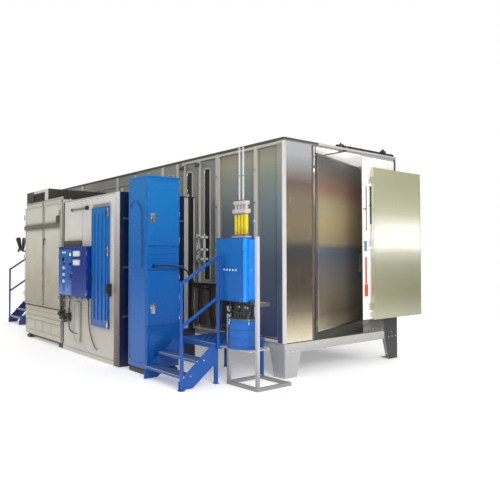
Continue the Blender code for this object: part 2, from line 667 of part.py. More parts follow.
def rail_solids(x, y_low, y_high, deck, y_end):
    """Handrail of round tube: newel, sloping top and middle rails, and posts on the deck."""
    lift = 0.33
    top = 1.27
    r = RAIL_TUBE
    solids = [rod((x, y_low, 0.0), (x, y_low, top), r, 12),
              rod((x, y_high, deck), (x, y_high, top + lift), r, 12),
              rod((x, y_low, top - r), (x, y_high, top + lift - r), r, 12),
              rod((x, y_low, top - 0.53), (x, y_high, top + lift - 0.53), r, 12)]
    if y_end > y_high:
        for z in (top + lift - r, top + lift - 0.53):
            solids.append(rod((x, y_high, z), (x, y_end, z), r, 12))
        solids.append(rod((x, y_end, deck), (x, y_end, top + lift), r, 12))
    return solids


def make_access():
    """Near platform and stair in front of the gun bay, and the same set past the entry end."""
    b = STAIR_X[1]
    c, d = STAIR_Y
    near = platform_solids(STAIR_X, (d, -0.05)) + stair_solids(STAIR_X, c, d)
    piece("near_platform", union(near[0], *near[1:]), "stair_blue")
    post_y = d + 0.03
    rail = rail_solids(b + RAIL_TUBE + 0.001, c + RAIL_TUBE + 0.002, post_y, DECK_TOP - 0.04, post_y)
    rail.append(block((b + GAP, post_y - 0.03, DECK_TOP - 0.055),
                      (b + 2 * RAIL_TUBE, post_y + 0.03, DECK_TOP - 0.005)))
    piece("near_handrail", union(rail[0], *rail[1:]), "stair_blue", smooth=True)
    c, d = LEFT_STAIR_Y
    split = c + 0.42
    entry = platform_solids(LEFT_STAIR_X, (split, d + 0.80)) + stair_solids(LEFT_STAIR_X, c, split)
    x = LEFT_STAIR_X[0] + RAIL_TUBE
    entry += rail_solids(x, c + RAIL_TUBE, split + 0.10, DECK_TOP - 0.01, d + 0.70)
    piece("entry_platform", union(entry[0], *entry[1:]), "stair_blue")


# ---------------------------------------------------------------- powder feed stand
def make_stand():
    """Square-tube stand with its pump box, powder drum, injectors, manifold and riser tubes."""
    a, b = STAND_X
    c, d = STAND_Y
    w = 0.04
    h = w / 2
    ring = difference(block((a - h, c - h, 0.0), (b + h, d + h, w)),
                      block((a + h, c + h, -w), (b - h, d - h, 2 * w)))
    posts = [block((b - h + 0.001, c - h + 0.001, 0.01), (b + h - 0.001, c + h - 0.001, STAND_BOX_Z[1])),
             block((a - h + 0.001, c - h + 0.001, 0.01), (a + h - 0.001, c + h - 0.001, 0.96))]
    back = STAND_BOX_Y[1] + 0.001
    arm_z = STAND_BOX_Z[0] - 0.025
    arms = [block((STAND_BOX_X[0] + 0.15, back + 0.001, arm_z - 0.02),
                  (b + h - 0.001, back + 0.03, arm_z + 0.02)),
            block((b - h + 0.001, c, arm_z - 0.019), (b + h - 0.002, back + 0.029, arm_z + 0.019))]
    for x in (STAND_BOX_X[0] + 0.18, STAND_BOX_X[1] - 0.10):
        arms.append(block((x, back + 0.002, arm_z),
                          (x + 0.04, back + 0.028, STAND_BOX_Z[1] - 0.05)))
    shelf_z = 0.455
    shelf = block((a - h + 0.004, c - 0.13, shelf_z + 0.010), (b - h + 0.01, c + 0.20, shelf_z + 0.020))
    piece("stand_frame", union(ring, *posts, *arms, shelf), "light_paint")
    make_stand_box()
    make_drum(shelf_z + 0.020 + GAP)


def make_stand_box():
    """Blue pump box on the stand, with a narrow door on its right face, hinged at the rear."""
    lo = (STAND_BOX_X[0], STAND_BOX_Y[0], STAND_BOX_Z[0])
    hi = (STAND_BOX_X[1], STAND_BOX_Y[1], STAND_BOX_Z[1])
    wall = 0.003
    shell = block(lo, hi)
    hollow = block([v + wall for v in lo], [v - wall for v in hi])
    hinge_y = hi[1] - 0.005
    free_y = hinge_y - 0.150
    mouth = block((hi[0] - 0.1, free_y + 0.012, lo[2] + 0.03),
                  (hi[0] + 0.1, hinge_y - 0.012, hi[2] - 0.03))
    piece("pump_box", difference(shell, hollow, mouth), "cabinet_blue")
    front = hi[0] + 0.016
    leaf = hollow_panel((hi[0] + 0.001, free_y, lo[2] + 0.015), (front, hinge_y, hi[2] - 0.015), 0.0015)
    piece("pump_box_door", leaf, "cabinet_blue", (front, hinge_y, lo[2]))


def make_drum(bottom):
    """Powder drum, the injector block above it, and the manifold with hoses and riser tubes."""
    x, y = DRUM_AT
    r = DRUM_RADIUS
    top = 0.82
    wall = 0.003
    outline = ((0.0, bottom), (r, bottom), (r, top), (r - wall, top), (r - wall, bottom + wall),
               (0.0, bottom + wall))
    made = bmesh.new()
    ring_sets = []
    sides = 32
    for radius, z in outline:
        if radius == 0.0:
            ring_sets.append([made.verts.new((x, y, z))])
            continue
        ring = []
        for step in range(sides):
            turn = 2 * math.pi * step / sides
            ring.append(made.verts.new((x + radius * math.cos(turn), y + radius * math.sin(turn), z)))
        ring_sets.append(ring)
    for low, high in zip(ring_sets, ring_sets[1:]):
        for step in range(sides):
            nxt = (step + 1) % sides
            if len(low) == 1:
                made.faces.new((low[0], high[nxt], high[step]))
            elif len(high) == 1:
                made.faces.new((low[step], low[nxt], high[0]))
            else:
                made.faces.new((low[step], low[nxt], high[nxt], high[step]))
    bmesh.ops.recalc_face_normals(made, faces=made.faces)
    piece("powder_drum", made, "cabinet_blue", smooth=True)
    lid = rod((x, y, top + GAP), (x, y, top + 0.012), r + 0.004, 32)
    pumps = [rod((x + dx, y - 0.02, top + 0.01), (x + dx, y - 0.02, top + 0.13), 0.021, 12)
             for dx in (-0.110, -0.055, 0.0, 0.055, 0.110)]
    bridge = block((x - 0.14, y - 0.035, top + 0.06), (x + 0.14, y - 0.005, top + 0.10))
    piece("injector_block", union(lid, bridge, *pumps), "dark_steel")
    mx, my = -0.06, (STAND_BOX_Y[0] + STAND_BOX_Y[1]) / 2
    base = STAND_BOX_Z[1] + GAP
    foot = block((mx - 0.15, my - 0.05, base), (mx + 0.15, my + 0.05, base + 0.02))
    tubes = [rod((mx - 0.09 + i * 0.06, my, base + 0.01), (mx - 0.09 + i * 0.06, my, 2.11), 0.021, 10)
             for i in range(4)]
    head = block((mx - 0.13, my - 0.045, 2.10), (mx + 0.13, my + 0.045, 2.25))
    risers = [rod((mx + dx, my, 2.24), (mx + dx, my, 2.91), 0.012, 10) for dx in (-0.035, 0.035)]
    piece("riser_manifold", union(foot, *tubes, head, *risers), "yellow_hose")


# ---------------------------------------------------------------- operator control box
def make_control_box():
    """Two-bay control box on the filter house: buttons on the left bay, a screen door on the right."""
    a, b = CONTROL_X
    low, high = CONTROL_Z
    back = FRONT_Y - GAP
    front = back - CONTROL_DEPTH
    shell = block((a, front, low), (b, back, high))
    skin = 0.003
    hollow = block((a + skin, front + skin, low + skin), (b - skin, back - skin, high - skin))
    mouth = block((CONTROL_SPLIT_X + 0.03, front - 0.1, low + 0.03), (b - 0.03, front + 0.1, high - 0.03))
    buttons = (("start_button", 1.38, "white_plastic"), ("stop_button", 1.27, "white_plastic"),
               ("reset_button", 1.16, "white_plastic"))
    button_x = (a + CONTROL_SPLIT_X) / 2 - 0.06
    bores = [rod((button_x, front - 0.1, z), (button_x, front + 0.05, z), 0.020, 16)
             for _, z, _ in buttons]
    bracket = block((a + 0.16, back - 0.05, high - 0.002), (CONTROL_SPLIT_X + 0.16, back, high + 0.10))
    piece("control_box", difference(union(shell, bracket), hollow, mouth, *bores), "navy_blue")
    leaf = hollow_panel((CONTROL_SPLIT_X + 0.004, front - 0.022, low + 0.004),
                        (b - 0.002, front - 0.002, high - 0.004), 0.0015)
    bezels = [block((CONTROL_SPLIT_X + 0.06, front - 0.027, z),
                    (CONTROL_SPLIT_X + 0.36, front - 0.0215, z + 0.10))
              for z in (1.42, 1.56)]
    piece("control_box_door", union(leaf, *bezels), "navy_blue", (b - 0.002, front - 0.022, low))
    for name, z, finish in buttons:
        stem = rod((button_x, front - 0.001, z), (button_x, front + 0.040, z), 0.016, 16)
        cap = rod((button_x, front - 0.020, z), (button_x, front - 0.0095, z), 0.026, 20)
        neck = rod((button_x, front - 0.011, z), (button_x, front + 0.002, z), 0.0155, 16)
        piece(name, union(cap, neck, stem), finish, (button_x, front, z), smooth=True)
    z = 1.52
    knob = rod((button_x, front - 0.0005, z), (button_x, front - 0.022, z), 0.030, 20)
    grip = block((button_x - 0.009, front - KNOB_REACH, z - 0.028),
                 (button_x + 0.009, front - 0.018, z + 0.028))
    piece("mode_switch", union(knob, grip), "rubber", (button_x, front, z), smooth=True)


# ---------------------------------------------------------------- gun supply hose
HOSE_DIAMETER = 0.022
HOSE_ROUTE = (
    (-1.2485, -1.200, 1.440), (-1.205, -1.199, 1.443), (-1.155, -1.175, 1.447), (-1.120, -1.115, 1.450),
    (-1.108, -1.030, 1.447), (-1.112, -0.930, 1.432), (-1.128, -0.820, 1.414), (-1.158, -0.725, 1.374),
    (-1.205, -0.630, 1.300), (-1.265, -0.530, 1.215), (-1.335, -0.430, 1.145), (-1.405, -0.330, 1.112),
    (-1.475, -0.235, 1.095), (-1.537, -0.150, 1.086), (-1.575, -0.078, 1.083), (-1.580, -0.0015, 1.082))


def smooth_points(route, spacing):
    """Points at even spacing along a Catmull-Rom curve through the route."""
    dense = []
    points = [Vector(p) for p in route]
    ends = [points[0] * 2 - points[1]] + points + [points[-1] * 2 - points[-2]]
    for i in range(1, len(ends) - 2):
        p0, p1, p2, p3 = ends[i - 1:i + 3]
        for step in range(12):
            t = step / 12
            dense.append(0.5 * (2 * p1 + (p2 - p0) * t + (2 * p0 - 5 * p1 + 4 * p2 - p3) * t ** 2
                                + (3 * p1 - 3 * p2 + p3 - p0) * t ** 3))
    dense.append(points[-1])
    length = sum((b - a).length for a, b in zip(dense, dense[1:]))
    count = round(length / spacing)
    result = [dense[0]]
    walked = 0.0
    for a, b in zip(dense, dense[1:]):
        piece_length = (b - a).length
        while len(result) < count and walked + piece_length >= len(result) * length / count:
            t = (len(result) * length / count - walked) / piece_length
            result.append(a.lerp(b, t))
        walked += piece_length
    result.append(dense[-1])
    return result


def make_hose():
    """Black supply hose from the control cabinet's face round to the foot of the gun-slot panel."""
    curve = bpy.data.curves.new("gun_supply_hose", "CURVE")
    curve.dimensions = "3D"
    curve.bevel_depth = HOSE_DIAMETER / 2
    curve.bevel_resolution = 2
    curve.use_fill_caps = True
    points = smooth_points(HOSE_ROUTE, HOSE_DIAMETER * 2.5)
    spline = curve.splines.new("POLY")
    spline.points.add(len(points) - 1)
    for target, point in zip(spline.points, points):
        target.co = (*point, 1.0)
    curve.materials.append(material("rubber"))
    hose = bpy.data.objects.new("gun_supply_hose", curve)
    bpy.context.collection.objects.link(hose)
    hose.parent = bpy.data.objects["machine_frame"]


def clear_scene():
    for thing in list(bpy.data.objects):
        bpy.data.objects.remove(thing)
    for mesh in list(bpy.data.meshes):
        bpy.data.meshes.remove(mesh)


def main():
    clear_scene()
    anchor = bpy.data.objects.new("machine_frame", None)
    bpy.context.collection.objects.link(anchor)
    anchor.location = FRAME_SHIFT
    make_base()
    make_walls()
    make_front_frame()
    make_gun_carriage(0)
    make_gun_carriage(1)
    make_inner_door()
    make_outer_door()
    make_filter_house()
    make_powder_module()
    make_cabinet()
    make_access()
    make_stand()
    make_control_box()
    make_hose()


main()
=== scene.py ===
"""Looks of the walk-in spray booth: camera, studio, materials and the fine detail round the frame.

Places are in the booth's own frame, in metres: x runs along the cabin towards its open end, y from
the long front wall to the rear wall, z up from the floor, and the near front corner of the cabin is
the origin. at() turns such a place into a point of the frame.
"""
import math

import bmesh
import bpy
from mathutils import Matrix, Vector


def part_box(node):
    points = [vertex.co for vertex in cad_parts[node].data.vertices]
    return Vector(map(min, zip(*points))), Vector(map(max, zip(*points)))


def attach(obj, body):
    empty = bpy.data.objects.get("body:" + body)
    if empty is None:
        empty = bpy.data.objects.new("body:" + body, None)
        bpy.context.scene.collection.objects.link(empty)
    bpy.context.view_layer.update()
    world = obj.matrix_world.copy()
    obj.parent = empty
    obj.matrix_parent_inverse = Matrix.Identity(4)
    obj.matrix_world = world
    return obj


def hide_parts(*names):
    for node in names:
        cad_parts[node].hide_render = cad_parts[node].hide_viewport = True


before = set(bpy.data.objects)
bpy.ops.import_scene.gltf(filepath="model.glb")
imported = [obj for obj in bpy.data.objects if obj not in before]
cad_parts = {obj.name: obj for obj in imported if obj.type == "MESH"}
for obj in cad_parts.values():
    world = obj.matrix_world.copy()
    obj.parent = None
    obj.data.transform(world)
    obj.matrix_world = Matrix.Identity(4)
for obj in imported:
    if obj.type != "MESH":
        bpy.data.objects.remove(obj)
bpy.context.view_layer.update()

# ---------------------------------------------------------------- places worked out from the frame
FLOOR_MARGIN = 0.004         # the floor pan stops this far inside the cabin's corner
pan_low, pan_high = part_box("floor_pan")
CORNER = Vector((pan_high.x + FLOOR_MARGIN, pan_low.y - FLOOR_MARGIN, 0.0))


def at(x, y, z):
    """A place of the booth's own frame as a point of the frame."""
    return CORNER + Vector((x, y, z))


def span(node):
    """Lowest and highest corners of a CAD node in the booth's own frame."""
    low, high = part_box(node)
    return low - CORNER, high - CORNER


# ---------------------------------------------------------------- camera
def make_camera():
    """The viewing angle: eye height, a little below level, with the machine to the left."""
    lens = bpy.data.cameras.new("camera")
    lens.sensor_width = 36.0
    lens.lens = 39.58
    lens.shift_x = 0.0794
    lens.shift_y = -0.0202
    lens.clip_end = 200.0
    camera = bpy.data.objects.new("camera", lens)
    bpy.context.scene.collection.objects.link(camera)
    camera.location = at(5.022, -5.089, 1.589)
    camera.rotation_euler = (math.radians(91.585), 0.0, math.radians(52.294))
    bpy.context.scene.camera = camera


# ---------------------------------------------------------------- shader helpers
def node(tree, kind, inputs=None, **settings):
    """One shader node; an input given as a socket is linked, and anything else is its value."""
    made = tree.nodes.new("ShaderNode" + kind)
    for key, value in settings.items():
        setattr(made, key, value)
    for key, value in (inputs or {}).items():
        if isinstance(value, bpy.types.NodeSocket):
            tree.links.new(value, made.inputs[key])
        else:
            made.inputs[key].default_value = value
    return made


def ramp(tree, factor, stops):
    """A colour ramp from (place, colour) stops."""
    made = node(tree, "ValToRGB", {"Fac": factor})
    band = made.color_ramp
    while len(band.elements) < len(stops):
        band.elements.new(0.5)
    for element, (place, color) in zip(band.elements, stops):
        element.position = place
        element.color = (*color, 1.0) if len(color) == 3 else color
    return made.outputs["Color"]


def mask(tree, factor, start, stop, low=0.0, high=1.0):
    """A value that runs from low to high as the factor goes from start to stop."""
    made = node(tree, "MapRange", {"Value": factor, "From Min": start, "From Max": stop,
                                   "To Min": low, "To Max": high})
    return made.outputs["Result"]


def noise(tree, vector, scale, detail=3.0, rough=0.55):
    made = node(tree, "TexNoise", {"Vector": vector, "Scale": scale, "Detail": detail,
                                   "Roughness": rough})
    return made.outputs[0]


def math_node(tree, operation, a, b):
    return node(tree, "Math", {0: a, 1: b}, operation=operation).outputs[0]


def blend(tree, factor, a, b, mode="MIX"):
    """Mix of two colours."""
    made = node(tree, "Mix", {0: factor, 6: a, 7: b}, data_type="RGBA", blend_type=mode)
    return made.outputs[2]


def shade(color, share):
    return tuple(channel * share for channel in color)


def opaque(color):
    return (*color, 1.0)


def start_material(name):
    """A new node material: its tree, its shader and the object coordinates in metres."""
    made = bpy.data.materials.new(name)
    made.use_nodes = True
    tree = made.node_tree
    shader = tree.nodes["Principled BSDF"]
    place = node(tree, "TexCoord").outputs["Object"]
    return made, tree, shader, place


def stretched(tree, place, scale):
    """Coordinates stretched by a scale along each axis."""
    return node(tree, "Mapping", {"Vector": place, "Scale": scale}).outputs["Vector"]


def link(tree, source, shader, name):
    tree.links.new(source, shader.inputs[name])


# ---------------------------------------------------------------- material families
BAND_TOP = 3.2               # the painted reflection and shade bands of the tall sheets run from the floor to here
LEAF_REFLECTION_BANDS = (               # painted reflections by height for the inner leaf: the shop's horizon painted into the sheet's colour
    (0.46, (196, 184, 152)), (0.62, (148, 136, 112)), (0.78, (112, 100, 84)),
    (1.05, (124, 114, 102)), (1.35, (116, 114, 114)), (1.60, (100, 108, 122)),
    (1.69, (108, 112, 120)), (1.76, (168, 152, 122)), (2.05, (190, 174, 132)),
    (2.30, (188, 172, 140)), (2.52, (160, 124, 108)), (2.75, (122, 110, 102)),
    (3.00, (100, 102, 106)))
WALL_REFLECTION_BANDS = (               # the same painted reflections for the sheets beside the opening
    (0.46, (232, 224, 202)), (0.64, (204, 194, 168)), (0.85, (146, 134, 116)),
    (1.10, (132, 122, 108)), (1.40, (138, 130, 122)), (1.64, (122, 122, 130)),
    (1.71, (140, 136, 136)), (1.79, (196, 184, 158)), (2.05, (210, 196, 166)),
    (2.32, (206, 192, 172)), (2.52, (186, 160, 146)), (2.72, (218, 218, 220)),
    (2.92, (250, 252, 255)))
BAY_REFLECTION_BANDS = (                # painted reflections for the end bay of the long wall, bluish low down
    (0.46, (78, 86, 118)), (0.80, (88, 98, 122)), (1.20, (104, 112, 124)), (1.55, (114, 122, 130)),
    (1.90, (130, 142, 146)), (2.30, (146, 158, 156)), (2.60, (154, 160, 150)),
    (2.85, (178, 176, 158)), (3.05, (164, 158, 134)))
BLUE_SHADE_BANDS = (               # painted shade for the blue cabinets: darker towards the foot, full colour at the top
    (0.00, (214, 205, 226)), (0.60, (204, 200, 228)), (1.40, (216, 216, 236)), (2.00, (236, 240, 246)),
    (2.60, (255, 255, 250)))
OUTER_HIGHLIGHT_BANDS = (              # painted reflections for the outer leaf, with one painted highlight at eye height
    (0.66, (200, 198, 172)), (1.00, (180, 178, 146)), (1.45, (190, 190, 164)), (1.62, (208, 209, 194)),
    (1.71, (246, 246, 238)), (2.02, (246, 246, 234)), (2.22, (216, 216, 188)), (2.72, (212, 212, 180)))
PILLAR_REFLECTION_BANDS = (             # painted reflection and shade for the end pillar of the filter house, darker and warmer towards the foot
    (0.00, (90, 76, 76)), (0.50, (112, 94, 92)), (0.95, (146, 128, 124)), (1.40, (176, 164, 156)),
    (1.90, (206, 200, 194)), (2.45, (230, 232, 234)))
HOUSE_SHADE_BANDS = (              # painted shade for the grey paint of the house and the module: darker low down, full brightness at the top
    (0.00, (236, 234, 230)), (0.40, (226, 222, 214)), (0.75, (200, 194, 184)), (1.10, (214, 208, 198)),
    (1.50, (238, 235, 230)), (2.00, (252, 251, 250)), (2.60, (255, 255, 255)))
STAND_SHADE_BANDS = (              # painted shade for the powder stand: greyer at its feet, full brightness up the post
    (0.00, (176, 172, 168)), (0.08, (184, 180, 176)), (0.40, (228, 226, 228)), (1.80, (244, 243, 250)))


def banded(tree, place, slow, tone, bands):
    """Multiplies a tone by tints that change with height, along slightly wavy borders: painted reflections
    and painted shade.
    """
    if not bands:
        return tone
    wavy = math_node(tree, "ADD", node(tree, "SeparateXYZ", {"Vector": place}).outputs["Z"],
                     mask(tree, slow, 0.0, 1.0, -0.05, 0.05))
    stops = [(level / BAND_TOP, tuple((c / 255.0) ** 2.2 for c in tint)) for level, tint in bands]
    return blend(tree, 1.0, ramp(tree, mask(tree, wavy, 0.0, BAND_TOP), stops), tone, "MULTIPLY")


def brushed_steel(name, color, rough, patch=0.8, dark=0.82, wave=0.004, grain=(140.0, 140.0, 2.0),
                  smudge=0.10, foot=None, bands=None, metallic=1.0, streak=0.12):
    """Brushed sheet: slow unevenness that bends reflections, fine vertical grain and hand smudges; any bands
    are painted reflections and painted shade by height.
    """
    made, tree, shader, place = start_material(name)
    slow = noise(tree, place, patch, 2.0)
    lines = noise(tree, stretched(tree, place, grain), 1.0, 2.0, 0.7)
    marks = noise(tree, place, 5.5, 6.0, 0.65)
    tone = ramp(tree, slow, ((0.30, shade(color, dark)), (0.70, color)))
    tone = blend(tree, mask(tree, lines, 0.35, 0.65, 0.0, streak), tone, opaque(shade(color, 0.78)))
    tone = blend(tree, mask(tree, marks, 0.58, 0.72, 0.0, smudge), tone, opaque(shade(color, 0.55)))
    if foot:
        height = node(tree, "SeparateXYZ", {"Vector": place}).outputs["Z"]
        low = mask(tree, height, foot[0], foot[0] + foot[1], 1.0, 0.0)
        stain = math_node(tree, "MULTIPLY", low, mask(tree, marks, 0.42, 0.60, 0.15, 1.0))
        tone = blend(tree, stain, tone, opaque(shade(color, 0.5)))
    tone = banded(tree, place, slow, tone, bands)
    link(tree, tone, shader, "Base Color")
    shader.inputs["Metallic"].default_value = metallic
    worn = math_node(tree, "ADD", mask(tree, lines, 0.2, 0.8, rough - 0.3 * streak, rough + 0.5 * streak),
                     mask(tree, marks, 0.55, 0.75, 0.0, 0.9 * smudge))
    link(tree, worn, shader, "Roughness")
    buckle = node(tree, "Bump", {"Height": noise(tree, place, 1.1, 1.0), "Distance": wave,
                                 "Strength": 1.0})
    fine = node(tree, "Bump", {"Height": lines, "Distance": 0.00002, "Strength": min(1.0, 8 * streak),
                               "Normal": buckle.outputs[0]})
    link(tree, fine.outputs[0], shader, "Normal")
    return made


def coated_steel(name, color, rough, wear=0.55, grime=0.35, peel=0.00004, bare=(0.55, 0.56, 0.57),
                 coat=0.0, bands=None, glow=0.0):
    """Powder coat: orange peel, slow tone changes, dust towards the floor, rubbed edges, any bands of
    painted shade by height, and any glow, which here is painted light on parts that are no lamps.
    """
    made, tree, shader, place = start_material(name)
    slow = noise(tree, place, 1.7, 3.0)
    spots = noise(tree, place, 14.0, 7.0, 0.7)
    tone = ramp(tree, slow, ((0.32, shade(color, 0.90)), (0.68, color)))
    height = node(tree, "SeparateXYZ", {"Vector": place}).outputs["Z"]
    low = mask(tree, height, 0.0, 0.75, grime, 0.0)
    dust = math_node(tree, "MULTIPLY", low, mask(tree, spots, 0.25, 0.75, 0.45, 1.0))
    grey = tuple(0.25 * channel + 0.10 for channel in color)
    tone = blend(tree, dust, tone, opaque(grey))
    scuffs = noise(tree, stretched(tree, place, (30.0, 30.0, 4.0)), 1.0, 5.0, 0.7)
    tone = blend(tree, mask(tree, scuffs, 0.66, 0.74, 0.0, 0.22), tone, opaque(shade(bare, 0.7)))
    round_edge = node(tree, "Bevel", {"Radius": 0.009}, samples=4).outputs[0]
    flat = node(tree, "NewGeometry").outputs["Normal"]
    edge = node(tree, "VectorMath", {0: round_edge, 1: flat}, operation="DOT_PRODUCT").outputs["Value"]
    rubbed = math_node(tree, "MULTIPLY", mask(tree, edge, 0.985, 0.90, 0.0, wear),
                       mask(tree, spots, 0.44, 0.60))
    tone = blend(tree, rubbed, tone, opaque(bare))
    link(tree, banded(tree, place, slow, tone, bands), shader, "Base Color")
    link(tree, mask(tree, spots, 0.25, 0.75, rough - 0.05, rough + 0.10), shader, "Roughness")
    shader.inputs["Coat Weight"].default_value = coat
    shader.inputs["Coat Roughness"].default_value = 0.12
    if glow:
        shader.inputs["Emission Color"].default_value = (1.0, 0.99, 0.96, 1.0)
        shader.inputs["Emission Strength"].default_value = glow
    skin = node(tree, "Bump", {"Height": noise(tree, place, 420.0, 2.0), "Distance": peel,
                               "Strength": 0.8})
    buckle = node(tree, "Bump", {"Height": noise(tree, place, 1.6, 1.0), "Distance": 0.003,
                                 "Strength": 1.0, "Normal": skin.outputs[0]})
    link(tree, buckle.outputs[0], shader, "Normal")
    return made


def moulded(name, color, rough, speckle=0.85, grain=260.0, depth=0.00012):
    """Moulded plastic or rubber: a fine pebble and dull rubbed patches."""
    made, tree, shader, place = start_material(name)
    patches = noise(tree, place, 9.0, 4.0)
    link(tree, ramp(tree, patches, ((0.3, shade(color, speckle)), (0.7, color))), shader, "Base Color")
    link(tree, mask(tree, patches, 0.3, 0.7, rough - 0.07, rough + 0.08), shader, "Roughness")
    skin = node(tree, "Bump", {"Height": noise(tree, place, grain, 2.0), "Distance": depth,
                               "Strength": 0.7})
    link(tree, skin.outputs[0], shader, "Normal")
    return made


def ribbed_hose(name, colors, rough, pitch, axis="Z"):
    """Hose wall whose ribs follow one axis, with a tone that changes along the height."""
    made, tree, shader, place = start_material(name)
    parts = node(tree, "SeparateXYZ", {"Vector": place})
    height = parts.outputs["Z"]
    low, high, foot_color, top_color = colors
    tone = ramp(tree, mask(tree, height, low, high), ((0.0, foot_color), (0.35, top_color)))
    tone = blend(tree, mask(tree, noise(tree, place, 22.0, 4.0), 0.45, 0.7, 0.0, 0.30), tone,
                 opaque(shade(top_color, 0.6)))
    link(tree, tone, shader, "Base Color")
    shader.inputs["Roughness"].default_value = rough
    ribs = math_node(tree, "SINE", math_node(tree, "MULTIPLY", parts.outputs[axis],
                                             2 * math.pi / pitch), 0.0)
    skin = node(tree, "Bump", {"Height": ribs, "Distance": 0.0012, "Strength": 0.8})
    link(tree, skin.outputs[0], shader, "Normal")
    return made


def glowing(name, color, strength, base=(0.8, 0.8, 0.8)):
    """Lamp diffuser or small indicator with a slightly uneven glow."""
    made, tree, shader, place = start_material(name)
    link(tree, ramp(tree, noise(tree, place, 6.0, 2.0), ((0.2, shade(color, 0.88)), (0.8, color))),
         shader, "Emission Color")
    shader.inputs["Emission Strength"].default_value = strength
    shader.inputs["Base Color"].default_value = opaque(base)
    shader.inputs["Roughness"].default_value = 0.35
    return made


def pleated_paper(name, color):
    """Filter paper in fine upright pleats, their valleys painted darker as painted shade."""
    made, tree, shader, place = start_material(name)
    pleats = noise(tree, stretched(tree, place, (160.0, 160.0, 0.6)), 1.0, 1.0)
    # the pleat valleys are painted darker: painted shade in the creases
    link(tree, ramp(tree, pleats, ((0.35, shade(color, 0.6)), (0.65, color))), shader, "Base Color")
    shader.inputs["Roughness"].default_value = 0.9
    fold = node(tree, "Bump", {"Height": pleats, "Distance": 0.004, "Strength": 1.0})
    link(tree, fold.outputs[0], shader, "Normal")
    return made


WHITE = (1.0, 1.0, 1.0)
BRUSHED = {                  # sheet metal: colour, roughness, and what differs from the usual
    "stainless": ((0.62, 0.605, 0.57), 0.28, dict(dark=0.90, smudge=0.04, metallic=0.8, streak=0.08)),
    "post_alloy": ((0.72, 0.70, 0.64), 0.36, dict(wave=0.001)),
    "bright_metal": ((0.80, 0.80, 0.80), 0.20, dict(wave=0.0005)),
    # end_steel: painted reflection bands in the colour of the sheets beside the opening
    "end_steel": ((0.95, 0.94, 0.92), 0.19, dict(patch=0.6, dark=0.90, bands=WALL_REFLECTION_BANDS, metallic=0.85)),
    # inner_leaf_steel: the inner leaf's colour carries painted reflection bands
    "inner_leaf_steel": (WHITE, 0.24, dict(dark=0.94, wave=0.003, bands=LEAF_REFLECTION_BANDS, metallic=0.35,
                                           smudge=0.02, streak=0.06)),
    # outer_leaf_steel: painted reflections and a painted highlight in its colour
    "outer_leaf_steel": (WHITE, 0.27, dict(dark=0.96, wave=0.002, bands=OUTER_HIGHLIGHT_BANDS, metallic=0.6,
                                           smudge=0.0, streak=0.0)),
    "sill_steel": ((0.52, 0.50, 0.475), 0.45, dict(dark=0.92, wave=0.001, smudge=0.03, metallic=0.3,
                                                   streak=0.05)),
    # pillar_steel: painted reflection and shade bands by height
    "pillar_steel": (WHITE, 0.34, dict(dark=0.96, wave=0.002, bands=PILLAR_REFLECTION_BANDS, metallic=0.3,
                                       streak=0.08)),
    # front_steel: a darker copy of the sheet steel for the long wall in shade, as painted shade; the stain
    # at its foot is dirt
    "front_steel": ((0.40, 0.41, 0.39), 0.32, dict(dark=0.85, foot=(0.45, 0.3), metallic=0.55)),
    # bay_steel: painted reflection bands, bluish low down
    "bay_steel": (WHITE, 0.34, dict(dark=0.92, wave=0.003, bands=BAY_REFLECTION_BANDS, metallic=0.4, streak=0.08)),
    "leg_steel": ((0.50, 0.50, 0.50), 0.42, dict(dark=0.92, wave=0.001, smudge=0.04, metallic=0.5)),
    "olive_trim": ((0.63, 0.60, 0.54), 0.4, dict(wave=0.001)),
}
